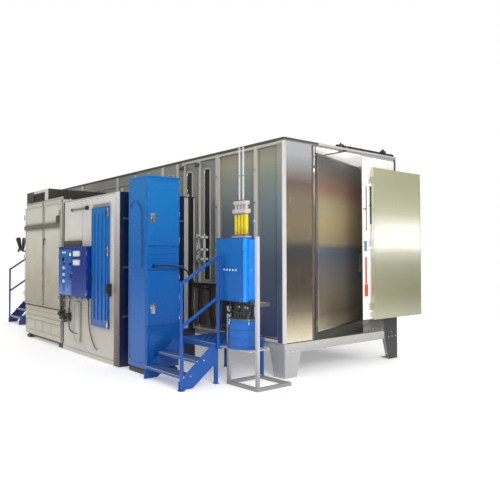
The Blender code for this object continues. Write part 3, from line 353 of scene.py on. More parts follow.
COATED = {                   # painted steel, in the same form
    "dark_steel": ((0.075, 0.075, 0.07), 0.45, dict(wear=0.3)),
    "grey_paint": ((0.47, 0.455, 0.415), 0.42, dict(wear=0.25, grime=0.5)),
    "light_paint": ((0.60, 0.585, 0.565), 0.38, dict(wear=0.2, grime=0.15)),
    # cabinet_blue: painted shade darkens it towards the foot
    "cabinet_blue": ((0.002, 0.185, 0.56), 0.33, dict(wear=0.15, coat=0.1, grime=0.1, bands=BLUE_SHADE_BANDS)),
    "navy_blue": ((0.001, 0.032, 0.26), 0.30, dict(wear=0.15, coat=0.3, grime=0.2)),
    "stair_blue": ((0.000, 0.082, 0.38), 0.36, dict(wear=0.15, grime=0.1)),
    "black_paint": ((0.022, 0.022, 0.022), 0.45, dict(wear=0.3)),
    "motor_housing": ((0.10, 0.12, 0.13), 0.5, dict()),
    # house_paint and module_paint: painted shade darkens them low down
    "house_paint": ((0.77, 0.75, 0.71), 0.42, dict(wear=0.15, grime=0.2, bands=HOUSE_SHADE_BANDS)),
    "module_paint": ((0.71, 0.69, 0.60), 0.42, dict(wear=0.15, grime=0.2, bands=HOUSE_SHADE_BANDS)),
    # stand_paint: painted shade makes it greyer towards the feet
    "stand_paint": ((0.66, 0.65, 0.66), 0.40, dict(wear=0.2, grime=0.1, bands=STAND_SHADE_BANDS)),
    "rail_olive": ((0.165, 0.165, 0.115), 0.45, dict(wear=0.2, grime=0.1)),
    "brown_trim": ((0.130, 0.090, 0.075), 0.45, dict(wear=0.2, grime=0.0)),
    "post_beige": ((0.56, 0.54, 0.48), 0.40, dict(wear=0.15, grime=0.1)),
    # stile_white glows a little though it is no lamp: painted light
    "stile_white": ((0.90, 0.90, 0.87), 0.35, dict(wear=0.0, grime=0.0, glow=0.22)),
    # liner_white glows though it is no lamp: painted light on the ceiling
    "liner_white": ((0.86, 0.86, 0.84), 0.5, dict(wear=0.0, grime=0.0, glow=0.60)),
    "trim_dark": ((0.085, 0.080, 0.066), 0.5, dict(wear=0.5)),
    "olive_dark": ((0.062, 0.056, 0.040), 0.5, dict(wear=0.3)),
    "signal_red": ((0.72, 0.085, 0.045), 0.4, dict(wear=0.2, grime=0.0)),
    "panel_blue": ((0.002, 0.13, 0.56), 0.28, dict(coat=0.3, wear=0.1)),
    # side_blue: a lighter copy of the cabinet blue for faces turned to the light: painted light
    "side_blue": ((0.006, 0.28, 0.92), 0.32, dict(coat=0.2, wear=0.1, grime=0.0)),
}
MOULDED = {                  # plastic and rubber: colour, roughness, and what differs
    "black_plastic": ((0.020, 0.020, 0.021), 0.45, dict()),
    "rubber": ((0.028, 0.026, 0.025), 0.72, dict()),
    "white_plastic": ((0.74, 0.73, 0.70), 0.38, dict(speckle=0.93)),
    "control_modules": ((0.33, 0.34, 0.35), 0.45, dict()),
    # side_navy: dark navy for the blue cabinet's reflection and shade on the house's side, as painted
    # reflection and painted shade
    "side_navy": ((0.006, 0.014, 0.055), 0.42, dict(speckle=0.9)),
    "switch_blue": ((0.16, 0.26, 0.36), 0.4, dict()),
    "manifold_grey": ((0.58, 0.52, 0.53), 0.38, dict(speckle=0.93)),
    "clear_hose": ((0.56, 0.58, 0.59), 0.22, dict(speckle=0.95, depth=0.00002)),
    "brown_hose": ((0.085, 0.050, 0.036), 0.6, dict()),
}
GLOWING = {                  # lamps and indicators: colour, strength and the colour when dark
    "lamp_glow": ((1.0, 0.99, 0.96), 9.0, dict()),
    "screen_glow": ((0.80, 0.87, 1.0), 0.28, dict(base=(0.50, 0.55, 0.62))),
    "led_white": ((0.62, 0.82, 1.0), 0.35, dict(base=(0.45, 0.62, 0.80))),
    "led_green": ((0.45, 0.95, 0.65), 0.8, dict(base=(0.4, 0.7, 0.5))),
}


def make_materials():
    """Every material by name, from the tables of the families."""
    made = {
        "yellow_hose": ribbed_hose("yellow_hose", (1.80, 2.12, (0.62, 0.24, 0.03), (0.80, 0.66, 0.03)),
                                   0.35, 0.012),
        "filter_paper": pleated_paper("filter_paper", (0.75, 0.72, 0.64)),
    }
    for family, table in ((brushed_steel, BRUSHED), (coated_steel, COATED), (moulded, MOULDED),
                          (glowing, GLOWING)):
        for name, (color, strength, options) in table.items():
            made[name] = family(name, color, strength, **options)
    return made


# ---------------------------------------------------------------- studio
HORIZON_BANDS = (            # height of a direction, from -1 straight down to 1, and its light
    (-1.00, (0.92, 0.91, 0.89)),
    (-0.30, (0.80, 0.77, 0.72)),
    (-0.13, (0.46, 0.42, 0.36)),
    (-0.075, (0.20, 0.165, 0.13)),
    (-0.018, (0.115, 0.125, 0.145)),
    (0.006, (0.13, 0.17, 0.23)),
    (0.016, (0.42, 0.38, 0.29)),
    (0.060, (0.46, 0.42, 0.30)),
    (0.092, (0.34, 0.25, 0.20)),
    (0.125, (0.34, 0.30, 0.27)),
    (0.165, (0.74, 0.78, 0.82)),
    (0.40, (1.00, 1.00, 1.00)),
    (1.00, (1.05, 1.05, 1.04)),
)


def make_world():
    """White surround for the eye; for light and gloss, a bright sky over a darker shop horizon."""
    world = bpy.data.worlds.new("studio")
    bpy.context.scene.world = world
    world.use_nodes = True
    tree = world.node_tree
    tree.nodes.clear()
    place = node(tree, "TexCoord").outputs["Generated"]
    height = node(tree, "SeparateXYZ", {"Vector": place}).outputs["Z"]
    stops = [((level + 1.0) / 2.0, color) for level, color in HORIZON_BANDS]
    bands = ramp(tree, mask(tree, height, -1.0, 1.0), stops)
    shop = node(tree, "Background", {"Color": bands, "Strength": 0.66})
    white = node(tree, "Background", {"Color": (1.0, 1.0, 1.0, 1.0), "Strength": 1.0})
    seen = node(tree, "LightPath").outputs["Is Camera Ray"]
    both = node(tree, "MixShader", {0: seen, 1: shop.outputs[0], 2: white.outputs[0]})
    end = node(tree, "OutputWorld", {"Surface": both.outputs[0]})
    end.is_active_output = True
    bpy.context.scene.view_settings.view_transform = "Standard"


def soft_light(name, place, target, size, power, color=(1.0, 1.0, 1.0), glossy=False):
    """A rectangular soft light that faces a target."""
    lamp = bpy.data.lights.new(name, "AREA")
    lamp.shape = "RECTANGLE"
    lamp.size, lamp.size_y = size
    lamp.energy = power
    lamp.color = color
    thing = bpy.data.objects.new(name, lamp)
    bpy.context.scene.collection.objects.link(thing)
    thing.location = at(*place)
    aim = at(*target) - at(*place)
    thing.rotation_euler = aim.to_track_quat("-Z", "Y").to_euler()
    thing.visible_glossy = glossy


def make_lights():
    soft_light("key", (7.5, -3.5, 6.0), (-0.5, 0.0, 1.2), (4.5, 3.5), 300.0)
    soft_light("front_fill", (-4.5, -9.0, 5.5), (-3.5, -0.5, 1.2), (7.0, 3.0), 120.0)
    soft_light("leaf_card", (6.6, 12.4, 2.25), (0.1, 2.4, 1.8), (2.6, 0.7), 26.0,
               (1.0, 0.98, 0.92), True)
    soft_light("end_fill", (4.2, -2.4, 2.6), (0.0, 1.7, 1.8), (1.6, 1.6), 70.0)
    soft_light("leaf_fill", (2.4, 1.1, 1.7), (-0.35, 1.5, 1.7), (1.0, 1.6), 12.0)
    soft_light("rear_fill", (-3.0, 9.0, 6.0), (-3.5, 1.2, 1.2), (7.0, 3.0), 170.0)
    soft_light("entry_fill", (-13.0, -3.0, 5.0), (-7.5, 0.5, 1.2), (4.0, 3.0), 130.0)


def make_floor():
    """Plain pale floor, a little larger than the machine."""
    made = bmesh.new()
    bmesh.ops.create_grid(made, x_segments=1, y_segments=1, size=1.0)
    for vert in made.verts:
        vert.co = at(-3.6 + vert.co.x * 11.0, 0.2 + vert.co.y * 8.5, -0.002)
    mesh = bpy.data.meshes.new("studio_floor")
    made.to_mesh(mesh)
    made.free()
    paper, tree, shader, place = start_material("studio_floor")
    tone = ramp(tree, noise(tree, place, 0.7, 3.0), ((0.3, (0.90, 0.90, 0.895)), (0.7, (0.93,) * 3)))
    link(tree, tone, shader, "Base Color")
    shader.inputs["Roughness"].default_value = 0.75
    shader.inputs["Emission Color"].default_value = (1.0, 1.0, 1.0, 1.0)
    shader.inputs["Emission Strength"].default_value = 0.30
    mesh.materials.append(paper)
    floor = bpy.data.objects.new("studio_floor", mesh)
    bpy.context.scene.collection.objects.link(floor)


# ---------------------------------------------------------------- shapes
class Shape:
    """Solids gathered in one mesh, built at their places in the booth's own frame."""

    def __init__(self):
        self.mesh = bmesh.new()

    def box(self, low, high, edge=0.002):
        """A box with rounded edges."""
        low, high = Vector(low), Vector(high)
        made = bmesh.ops.create_cube(self.mesh, size=1.0)["verts"]
        size = high - low
        for vert in made:
            vert.co = (low + high) / 2 + Vector([c * s for c, s in zip(vert.co, size)])
        if edge:
            edges = list({line for vert in made for line in vert.link_edges})
            bmesh.ops.bevel(self.mesh, geom=edges, offset=min(edge, 0.4 * min(size)), segments=2,
                            profile=0.7, affect="EDGES")
        return self

    def boxes(self, edge, *corner_pairs):
        """Several boxes with the same rounding."""
        for low, high in corner_pairs:
            self.box(low, high, edge)
        return self

    def rod(self, start, end, radius, sides=16, end_radius=None, edge=0.0):
        """A round bar or cone; with an edge, its two rims are rounded."""
        start, end = Vector(start), Vector(end)
        run = end - start
        turn = run.to_track_quat("Z", "Y").to_matrix().to_4x4()
        made = bmesh.ops.create_cone(
            self.mesh, cap_ends=True, segments=sides, radius1=radius,
            radius2=radius if end_radius is None else end_radius, depth=run.length,
            matrix=Matrix.Translation((start + end) / 2) @ turn)["verts"]
        if edge:
            rims = {line for vert in made for line in vert.link_edges
                    if any(len(face.verts) > 4 for face in line.link_faces)}
            bmesh.ops.bevel(self.mesh, geom=list(rims), offset=edge, segments=2, profile=0.6,
                            affect="EDGES")
        return self

    def upright(self, x, y, z, half, radius, sides, edge):
        """An upright rod, such as a hinge barrel, that reaches half its height up and down from z."""
        return self.rod((x, y, z - half), (x, y, z + half), radius, sides, edge=edge)

    def stud(self, place, axis, length, radius, sides, edge=0.0):
        """A round knob, lamp or stub that stands out from a place along an axis."""
        return self.rod(place, Vector(place) + Vector(axis) * length, radius, sides, edge=edge)

    def ring(self, centre, axis, inner, outer, depth, sides=24):
        """A flat ring: a washer, bezel or clamp."""
        centre, axis = Vector(centre), Vector(axis).normalized()
        turn = axis.to_track_quat("Z", "Y").to_matrix()
        loops = []
        soft = min(depth, outer - inner) * 0.2
        outline = ((inner, -0.5, 0), (outer - soft, -0.5, 0), (outer, -0.5, 1), (outer, 0.5, -1),
                   (outer - soft, 0.5, 0), (inner, 0.5, 0))
        for radius, share, inset in outline:
            level = share * depth + inset * soft
            loops.append([self.mesh.verts.new(centre + turn @ Vector((
                radius * math.cos(2 * math.pi * i / sides), radius * math.sin(2 * math.pi * i / sides),
                level))) for i in range(sides)])
        for low, high in zip(loops, loops[1:] + loops[:1]):
            for i in range(sides):
                j = (i + 1) % sides
                self.mesh.faces.new((low[i], low[j], high[j], high[i]))
        return self

    def tube(self, route, radius, sides=10, rings=None):
        """A bent tube along a smooth route; rings=(pitch, rise) gives it raised ribs."""
        points = smooth_route(route, max(radius * 1.5, 0.006) if rings is None else rings[0] / 4)
        side = None
        loops = []
        for i, point in enumerate(points):
            ahead = points[min(i + 1, len(points) - 1)] - points[max(i - 1, 0)]
            ahead.normalize()
            if side is None:
                side = ahead.orthogonal().normalized()
            side = (side - side.dot(ahead) * ahead).normalized()
            up = ahead.cross(side)
            size = radius + (rings[1] if rings and i % 4 in (1, 2) else 0.0)
            loops.append([self.mesh.verts.new(point + size * (
                math.cos(2 * math.pi * k / sides) * side + math.sin(2 * math.pi * k / sides) * up))
                for k in range(sides)])
        for low, high in zip(loops, loops[1:]):
            for k in range(sides):
                j = (k + 1) % sides
                self.mesh.faces.new((low[k], low[j], high[j], high[k]))
        self.mesh.faces.new(loops[0])
        self.mesh.faces.new(loops[-1])
        return self

    def prism(self, outline, axis, start, stop, edge=0.0):
        """An outline of points across one axis, given depth along it."""
        others = [i for i in range(3) if i != axis]
        loops = []
        for level in (start, stop):
            loop = []
            for u, v in outline:
                place = [0.0, 0.0, 0.0]
                place[axis], place[others[0]], place[others[1]] = level, u, v
                loop.append(self.mesh.verts.new(place))
            loops.append(loop)
        faces = [self.mesh.faces.new(loops[0]), self.mesh.faces.new(loops[1])]
        count = len(outline)
        for i in range(count):
            j = (i + 1) % count
            faces.append(self.mesh.faces.new((loops[0][i], loops[0][j], loops[1][j], loops[1][i])))
        if edge:
            lines = list({line for face in faces for line in face.edges})
            bmesh.ops.bevel(self.mesh, geom=lines, offset=edge, segments=1, affect="EDGES")
        return self

    def bolt(self, place, axis, size=0.008):
        """Washer and hexagon head that stand out along an axis."""
        place, axis = Vector(place), Vector(axis).normalized()
        self.rod(place, place + axis * size * 0.3, size * 1.35, 12)
        self.rod(place + axis * size * 0.25, place + axis * size * 1.1, size, 6, size * 0.92)
        return self

    def bolts(self, first, last, count, axis, size=0.008):
        """A row of bolts between two places."""
        first, last = Vector(first), Vector(last)
        for i in range(count):
            self.bolt(first.lerp(last, i / max(count - 1, 1)), axis, size)
        return self

    def frame_strip(self, low, high, across, width, edge=0.0015):
        """Four strips round the border of a box face that is normal to an axis."""
        low, high = Vector(low), Vector(high)
        u, v = [i for i in range(3) if i != across]
        for axis, other, shorten in ((u, v, 0.0), (v, u, width)):
            for at_low in (True, False):
                a, b = low.copy(), high.copy()
                if at_low:
                    b[other] = low[other] + width
                else:
                    a[other] = high[other] - width
                a[axis] += shorten
                b[axis] -= shorten
                self.box(a, b, edge)
        return self

    def place(self, name, finish, body="booth", slot=None, smooth=40.0):
        """Turns the gathered solids into a piece that rides on a body."""
        bmesh.ops.recalc_face_normals(self.mesh, faces=self.mesh.faces)
        bmesh.ops.translate(self.mesh, vec=CORNER, verts=self.mesh.verts)
        mesh = bpy.data.meshes.new(name)
        self.mesh.to_mesh(mesh)
        self.mesh.free()
        mesh.materials.append(MATERIALS[finish])
        mesh.shade_smooth()
        mesh.set_sharp_from_angle(angle=math.radians(smooth))
        piece = bpy.data.objects.new(name, mesh)
        bpy.context.scene.collection.objects.link(piece)
        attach(piece, body)
        return piece


def plate(name, finish, low, high, edge=0.002, body="booth", slot=None):
    """A piece that is a single box with rounded edges."""
    return Shape().box(low, high, edge).place(name, finish, body, slot)


def smooth_route(route, spacing):
    """Points at even spacing along a Catmull-Rom curve through the route."""
    points = [Vector(p) for p in route]
    if len(points) == 2:
        steps = max(2, round((points[1] - points[0]).length / spacing))
        return [points[0].lerp(points[1], i / steps) for i in range(steps + 1)]
    ends = [points[0] * 2 - points[1]] + points + [points[-1] * 2 - points[-2]]
    dense = []
    for i in range(1, len(ends) - 2):
        p0, p1, p2, p3 = ends[i - 1:i + 3]
        for step in range(12):
            t = step / 12
            dense.append(0.5 * (2 * p1 + (p2 - p0) * t + (2 * p0 - 5 * p1 + 4 * p2 - p3) * t ** 2
                                + (3 * p1 - 3 * p2 + p3 - p0) * t ** 3))
    dense.append(points[-1])
    length = sum((b - a).length for a, b in zip(dense, dense[1:]))
    count = max(2, round(length / spacing))
    result = [dense[0]]
    walked = 0.0
    for a, b in zip(dense, dense[1:]):
        leg = (b - a).length
        while leg > 0 and walked + leg >= length * len(result) / count and len(result) < count:
            share = (length * len(result) / count - walked) / leg
            result.append(a.lerp(b, share))
        walked += leg
    result.append(dense[-1])
    return result


# ---------------------------------------------------------------- the free hose
HOSE_DIAMETER = 0.022
HOSE_ROUTE = (
    (-1.2485, -1.200, 1.440), (-1.205, -1.199, 1.443), (-1.155, -1.175, 1.447), (-1.120, -1.115, 1.450),
    (-1.108, -1.030, 1.447), (-1.112, -0.930, 1.432), (-1.128, -0.820, 1.414), (-1.158, -0.725, 1.374),
    (-1.205, -0.630, 1.300), (-1.265, -0.530, 1.215), (-1.335, -0.430, 1.145), (-1.405, -0.330, 1.112),
    (-1.475, -0.235, 1.095), (-1.537, -0.150, 1.086), (-1.575, -0.078, 1.083), (-1.580, -0.0015, 1.082))


def make_hose():
    """Gun supply hose from the tall cabinet to the slot panel, with a gland at each end."""
    points = smooth_route(HOSE_ROUTE, HOSE_DIAMETER * 0.6)
    curve = bpy.data.curves.new("supply_hose", "CURVE")
    curve.dimensions = "3D"
    curve.bevel_depth = HOSE_DIAMETER / 2
    curve.bevel_resolution = 4
    curve.use_fill_caps = True
    spline = curve.splines.new("POLY")
    spline.points.add(len(points) - 1)
    for target, point in zip(spline.points, points):
        target.co = (*(CORNER + point), 1.0)
    spline.use_smooth = True
    curve.materials.append(MATERIALS["rubber"])
    hose = bpy.data.objects.new("supply_hose", curve)
    bpy.context.scene.collection.objects.link(hose)
    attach(hose, "booth")
    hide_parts("gun_supply_hose")
    glands = Shape()
    for first, second in ((HOSE_ROUTE[0], HOSE_ROUTE[1]), (HOSE_ROUTE[-1], HOSE_ROUTE[-2])):
        first, second = Vector(first), Vector(second)
        way = (second - first).normalized()
        glands.rod(first, first + way * 0.012, 0.024, 6)
        glands.rod(first + way * 0.010, first + way * 0.045, 0.018, 16, 0.0122)
    glands.place("supply_hose_glands", "black_plastic")


# ---------------------------------------------------------------- finishes of the CAD nodes
NODE_FINISH = {
    # several finishes here carry painted light: reflection and shade bands on the leaves, the end bay and
    # the house, a glow on the stile, and a lighter blue on the pump box door
    "inner_door_leaf": "inner_leaf_steel", "outer_door_leaf": "outer_leaf_steel",
    "front_wall_end_bay": "bay_steel", "outer_door_stile": "stile_white",
    "filter_house": "house_paint", "powder_module": "module_paint", "pump_box_door": "side_blue",
    "powder_module_door_left": "module_paint", "powder_module_door_right": "module_paint",
    "stand_frame": "stand_paint", "base_sill_ring": "sill_steel",
    "leg_frame_1": "leg_steel", "leg_frame_2": "leg_steel", "leg_frame_3": "leg_steel",
    "leg_frame_4": "leg_steel", "gun_slot_panel": "front_steel",
    "front_wall_rear_bay": "front_steel", "exit_jamb_near": "end_steel", "exit_jamb_far": "end_steel",
    "front_post_frame": "post_beige", "fan_motor": "motor_housing",
    "gun_control_rack": "control_modules", "entry_platform": "navy_blue",
    "control_box": "navy_blue", "gun_carriage_1": "white_plastic", "gun_carriage_2": "white_plastic",
}
SOFT_EDGES = {               # nodes of plain boxes whose edges are rounded, and by how much
    "control_cabinet": 0.006, "control_box": 0.004, "control_box_door": 0.003, "pump_box": 0.005,
    "cabinet_door_upper": 0.003, "cabinet_door_lower": 0.003, "filter_door": 0.003,
    "powder_module_door_left": 0.003, "powder_module_door_right": 0.003, "pump_box_door": 0.003,
    "outer_door_leaf": 0.004, "inner_door_leaf": 0.004, "filter_house": 0.004,
    "powder_module": 0.004, "stand_frame": 0.003, "cabinet_handle_upper": 0.002,
    "cabinet_handle_lower": 0.002, "front_post_frame": 0.003,
}


def finish_nodes():
    """Gives every CAD node its detailed material, and rounds the edges of the folded boxes."""
    for name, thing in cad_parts.items():
        for holder in thing.material_slots:
            plain = holder.material.name.split(".")[0]
            holder.material = MATERIALS[NODE_FINISH.get(name, plain)]
        if name in SOFT_EDGES:
            bevel = thing.modifiers.new("soft_edges", "BEVEL")
            bevel.width = SOFT_EDGES[name]
            bevel.segments = 2
            bevel.limit_method = "ANGLE"
            bevel.angle_limit = math.radians(60)


# ---------------------------------------------------------------- cabin details
FRONT, REAR, UP, DOWN = (0, -1, 0), (0, 1, 0), (0, 0, 1), (0, 0, -1)
DARK_EDGE_END = 0.66         # along the open end, the roof's flashing is dark up to here
ROOF_STEP = 1.25             # spacing of roof seams, wall battens and rear ribs
SILL_TOP = 0.452             # the walls and end trims stand on the sill from here
CABIN_LENGTH = 7.5
HOUSING_FRONT = -1.33        # the filter house and the powder module share this front plane
LAMP_PLACES = [(x, y) for x in (-1.2, -3.0, -4.8, -6.4) for y in (0.55, 1.91)]
LIFT_POSTS = (-2.23, -1.82)  # the two front posts that the gun carriages run on
TRUNK_LINES = (-2.17, -2.12, -2.07, -2.02, -1.97, -1.92, -1.76, -1.71, -1.66, -1.48, -1.43, -1.38)


def seams_along(node_name, step=ROOF_STEP):
    """Even places along x over the length of a node, ends left out."""
    low, high = span(node_name)
    count = max(1, round((high.x - low.x) / step))
    return [low.x + (high.x - low.x) * i / count for i in range(1, count)]


def detail_roof():
    """Edge flashing, standing seams, slot lips, lamp covers, the edge rail and the slot hanger."""
    low, high = span("roof_front")
    rear = span("roof_rear")[1]
    top = high.z
    lid = top + 0.004
    flashing = Shape()
    flashing.boxes(0.002, ((low.x, -0.010, top - 0.034), (0.0, -0.0008, lid)),
                   ((0.0008, -0.010, top - 0.026), (0.010, DARK_EDGE_END, lid)),
                   ((low.x, rear.y + 0.0008, top - 0.034), (0.0, rear.y + 0.010, lid)),
                   ((low.x - 0.010, -0.010, top - 0.034), (low.x - 0.0008, rear.y + 0.004, lid)))
    flashing.place("roof_flashing", "trim_dark")
    plate("roof_flashing_pale", "post_beige", (0.0008, DARK_EDGE_END + 0.0005, top - 0.026),
          (0.010, rear.y + 0.004, lid))
    seams, bolts, covers = Shape(), Shape(), Shape()
    for x in seams_along("roof_front"):
        for a, b in ((low.y + 0.03, high.y - 0.03), (high.y + 0.13, rear.y - 0.03)):
            seams.box((x - 0.016, a, top), (x + 0.016, b, top + 0.010), 0.003)
            bolts.bolts((x, a + 0.05, top + 0.010), (x, b - 0.05, top + 0.010), 5, UP, 0.007)
    for y in (high.y - 0.012, high.y + 0.112):
        seams.box((low.x + 0.01, y - 0.010, top), (-0.01, y + 0.010, top + 0.035), 0.003)
    seams.place("roof_seams", "stainless")
    bolts.place("roof_bolts", "bright_metal")
    for x, y in LAMP_PLACES:
        covers.box((x - 0.55, y - 0.11, top), (x + 0.55, y + 0.11, top + 0.055), 0.012)
        covers.box((x - 0.42, y - 0.06, top + 0.05), (x + 0.42, y + 0.06, top + 0.070), 0.006)
    covers.place("roof_lamp_covers", "light_paint")
    rail = Shape()
    rail.box((-0.060, 1.10, top + 0.012), (-0.020, rear.y - 0.01, top + 0.045), 0.004)
    rail.box((-0.075, 2.16, top), (-0.008, 2.23, top + 0.075), 0.006)
    rail.box((-0.055, 2.175, top + 0.06), (-0.028, 2.215, top + 0.098), 0.004)
    for y in (1.16, 1.62, 2.02, 2.40):
        rail.box((-0.075, y - 0.012, top), (-0.008, y + 0.012, top + 0.016), 0.002)
    rail.bolts((-0.040, 1.16, top + 0.045), (-0.040, 2.40, top + 0.045), 6, UP, 0.008)
    rail.place("roof_edge_rail", "black_paint")
    hanger = Shape()
    hanger.box((-0.10, 1.185, top - 0.030), (-0.02, 1.235, top + 0.060), 0.006)
    hanger.rod((-0.06, 1.21, top + 0.05), (-0.06, 1.21, top + 0.085), 0.012, 12)
    hanger.ring((-0.06, 1.21, top + 0.045), (1, 0, 0), 0.010, 0.022, 0.012)
    hanger.place("roof_slot_hanger", "brown_hose", slot="dark_steel")


def detail_ceiling():
    """White liner under the roof, which glows a little as painted light, and two rows of strip lamps."""
    low, high = span("roof_front")
    rear = span("roof_rear")[1]
    under = low.z - 0.001
    seams = seams_along("roof_front")
    liner, housings, diffusers, screws = Shape(), Shape(), Shape(), Shape()
    for a, b in ((0.02, high.y - 0.02), (high.y + 0.12, rear.y - 0.02)):
        for x, following in zip((low.x + 0.02, *seams), (*seams, -0.06)):
            liner.box((x + 0.004, a, under - 0.012), (following - 0.004, b, under), 0.002)
    liner.place("ceiling_liner", "liner_white")
    for x, y in LAMP_PLACES:
        housings.box((x - 0.60, y - 0.09, under - 0.060), (x + 0.60, y + 0.09, under - 0.012), 0.008)
        diffusers.box((x - 0.57, y - 0.07, under - 0.072), (x + 0.57, y + 0.07, under - 0.058), 0.006)
        screws.bolts((x - 0.585, y, under - 0.060), (x + 0.585, y, under - 0.060), 2, DOWN, 0.005)
    housings.place("ceiling_lamp_housings", "light_paint")
    diffusers.place("ceiling_lamp_diffusers", "lamp_glow")
    screws.place("ceiling_lamp_screws", "bright_metal")


def detail_walls():
    """Battens and bands on the long front wall; ribs, bolts and panel frames on the rear wall."""
    low, high = span("front_wall_rear_bay")
    rear = span("rear_wall")[1]
    top = high.z
    bays = 6
    battens, band, ribs, bolts, panels = Shape(), Shape(), Shape(), Shape(), Shape()
    for x in (-7.44, -6.80, -6.05, -4.48, -2.87, -2.42):
        battens.box((x - 0.036, -0.022, 2.56), (x + 0.036, -0.001, top - 0.002), 0.004)
    battens.place("front_wall_battens", "post_beige")
    band.box((low.x + 0.01, -0.012, 2.90), (-2.28, -0.0006, 2.93), 0.003)
    band.box((low.x + 0.004, -0.014, 0.455), (-2.28, -0.0006, 0.50), 0.003)
    for x in (-6.6, -5.86):
        band.box((x - 0.003, -0.006, 0.5), (x + 0.003, -0.0006, 2.9), 0.001)
    band.place("front_wall_bands", "olive_trim")
    for i in range(bays + 1):
        x = -0.04 + (low.x + 0.08) * i / bays
        ribs.box((x - 0.030, rear.y + 0.0006, 0.46), (x + 0.030, rear.y + 0.028, top - 0.004), 0.005)
        bolts.bolts((x, rear.y + 0.028, 0.60), (x, rear.y + 0.028, top - 0.15), 7, REAR, 0.008)
    for z in (0.47, 1.72, top - 0.045):
        ribs.box((low.x + 0.004, rear.y + 0.0006, z), (-0.006, rear.y + 0.018, z + 0.035), 0.004)
    ribs.place("rear_wall_ribs", "stainless")
    bolts.place("rear_wall_bolts", "bright_metal")
    for i in range(bays):
        x = -0.04 + (low.x + 0.08) * (i + 0.5) / bays
        for foot, head in ((0.62, 1.66), (1.82, 2.95)):
            panels.frame_strip((x - 0.42, rear.y + 0.0006, foot), (x + 0.42, rear.y + 0.006, head), 1, 0.02)
    panels.place("rear_wall_panel_frames", "stainless")


def detail_ends():
    """Trims and rivets round both end openings, and the sheets on the open end's face: a white header that
    glows as painted light, a dark sheet of painted shade under the outer leaf, and a corner post sheet with
    painted reflection bands.
    """
    top = span("exit_jamb_near")[1].z
    rear = span("rear_wall")[1].y
    for name, side, face in (("exit", 1, 0.0006), ("entry", -1, -CABIN_LENGTH - 0.0006)):
        jambs = [(span(f"{name}_jamb_near")[1].y, -1)]
        if name == "entry":
            jambs.append((span(f"{name}_jamb_far")[0].y, 1))
        trims, rivets = Shape(), Shape()
        outer = face + side * 0.004
        for y, inward in jambs:
            a, b = sorted((y, y + inward * 0.030))
            trims.box((min(face, outer), a, SILL_TOP), (max(face, outer), b, top), 0.0015)
            middle = y + inward * 0.015
            rivets.bolts((outer, middle, 0.52), (outer, middle, top - 0.06), 11, (side, 0, 0), 0.004)
        c, d = sorted((face, face + side * 0.006))
        trims.box((c, rear - 0.045, SILL_TOP), (d, rear - 0.002, top), 0.002)
        if name == "entry":
            trims.box((c, 0.004, SILL_TOP), (d, 0.045, top), 0.002)
        trims.place(f"{name}_opening_trims", "brown_trim")
        rivets.place(f"{name}_opening_rivets", "bright_metal")
    near, far, back, skin = 1.625, rear - 0.048, 0.0006, 0.0026
    # the white header sheet glows a little: painted light
    plate("exit_header_sheet", "stile_white", (back, near, 2.735), (skin, far, top - 0.032), 0.0005)
    # a dark sheet under the outer leaf: painted shade
    plate("exit_shade_sheet", "trim_dark", (back, near, SILL_TOP + 0.0005), (skin, far, 0.700), 0.0005)
    # the corner post's front sheet carries the end bay's painted reflection bands
    plate("corner_post_front_sheet", "bay_steel", (-0.085, -0.0425, 0.456),
          (-0.0015, -0.0408, top - 0.036), 0.0005)
    plate("exit_corner_post_cap", "light_paint", (back, -0.0405, SILL_TOP), (0.0080, 0.030, top), 0.003)


def detail_base():
    """Bolts along the sill and at the legs, a black plate of painted shade on the far leg, the sill gasket
    and floor seams.
    """
    low, high = span("base_sill_ring")
    middle = (low.z + high.z) / 2
    bolts = Shape()
    for y, way in ((low.y, FRONT), (high.y, REAR)):
        bolts.bolts((low.x + 0.15, y, middle), (high.x - 0.15, y, middle), 16, way, 0.008)
    for x, side in ((high.x, 1), (low.x, -1)):
        bolts.bolts((x, low.y + 0.15, middle), (x, high.y - 0.15, middle), 6, (side, 0, 0), 0.008)
    for number in (1, 2, 3, 4):
        a, b = span(f"leg_frame_{number}")
        outer, side = (b.x, 1) if number < 3 else (a.x, -1)
        for y, inward in ((a.y, 1), (b.y, -1)):
            for step in range(3):
                bolts.bolt((outer, y + inward * (0.05 + step * 0.085), b.z - 0.028), (side, 0, 0), 0.009)
            for dx in (0.045, 0.13):
                bolts.bolt((outer - side * dx, y + inward * 0.14, 0.010), UP, 0.010)
    bolts.place("base_bolts", "bright_metal")
    corner = span("leg_frame_1")[1]
    # black plate over the far leg's faces: painted shade
    shade_plate = Shape()
    shade_plate.prism(((corner.y, 0.64), (corner.y - 0.335, 0.64), (corner.y - 0.318, corner.z),
                (corner.y - 0.219, 0.002), (corner.y, 0.002)), 0, high.x + 0.0045, high.x + 0.0075)
    shade_plate.place("far_leg_shade_plate", "black_paint")
    gasket = Shape()
    foot, head = high.z - 0.006, high.z + 0.004
    gasket.boxes(0.002, ((high.x - 0.006, 0.02, foot), (high.x + 0.004, high.y - 0.02, head)),
                 ((low.x + 0.02, low.y - 0.004, foot), (high.x - 0.1, low.y + 0.006, head)))
    gasket.place("sill_gasket", "rubber")
    pan = span("floor_pan")[1]
    grid = Shape()
    for x in seams_along("floor_pan", 0.9):
        grid.box((x - 0.012, 0.06, pan.z), (x + 0.012, pan.y - 0.06, pan.z + 0.004), 0.001)
    grid.place("floor_seams", "stainless")


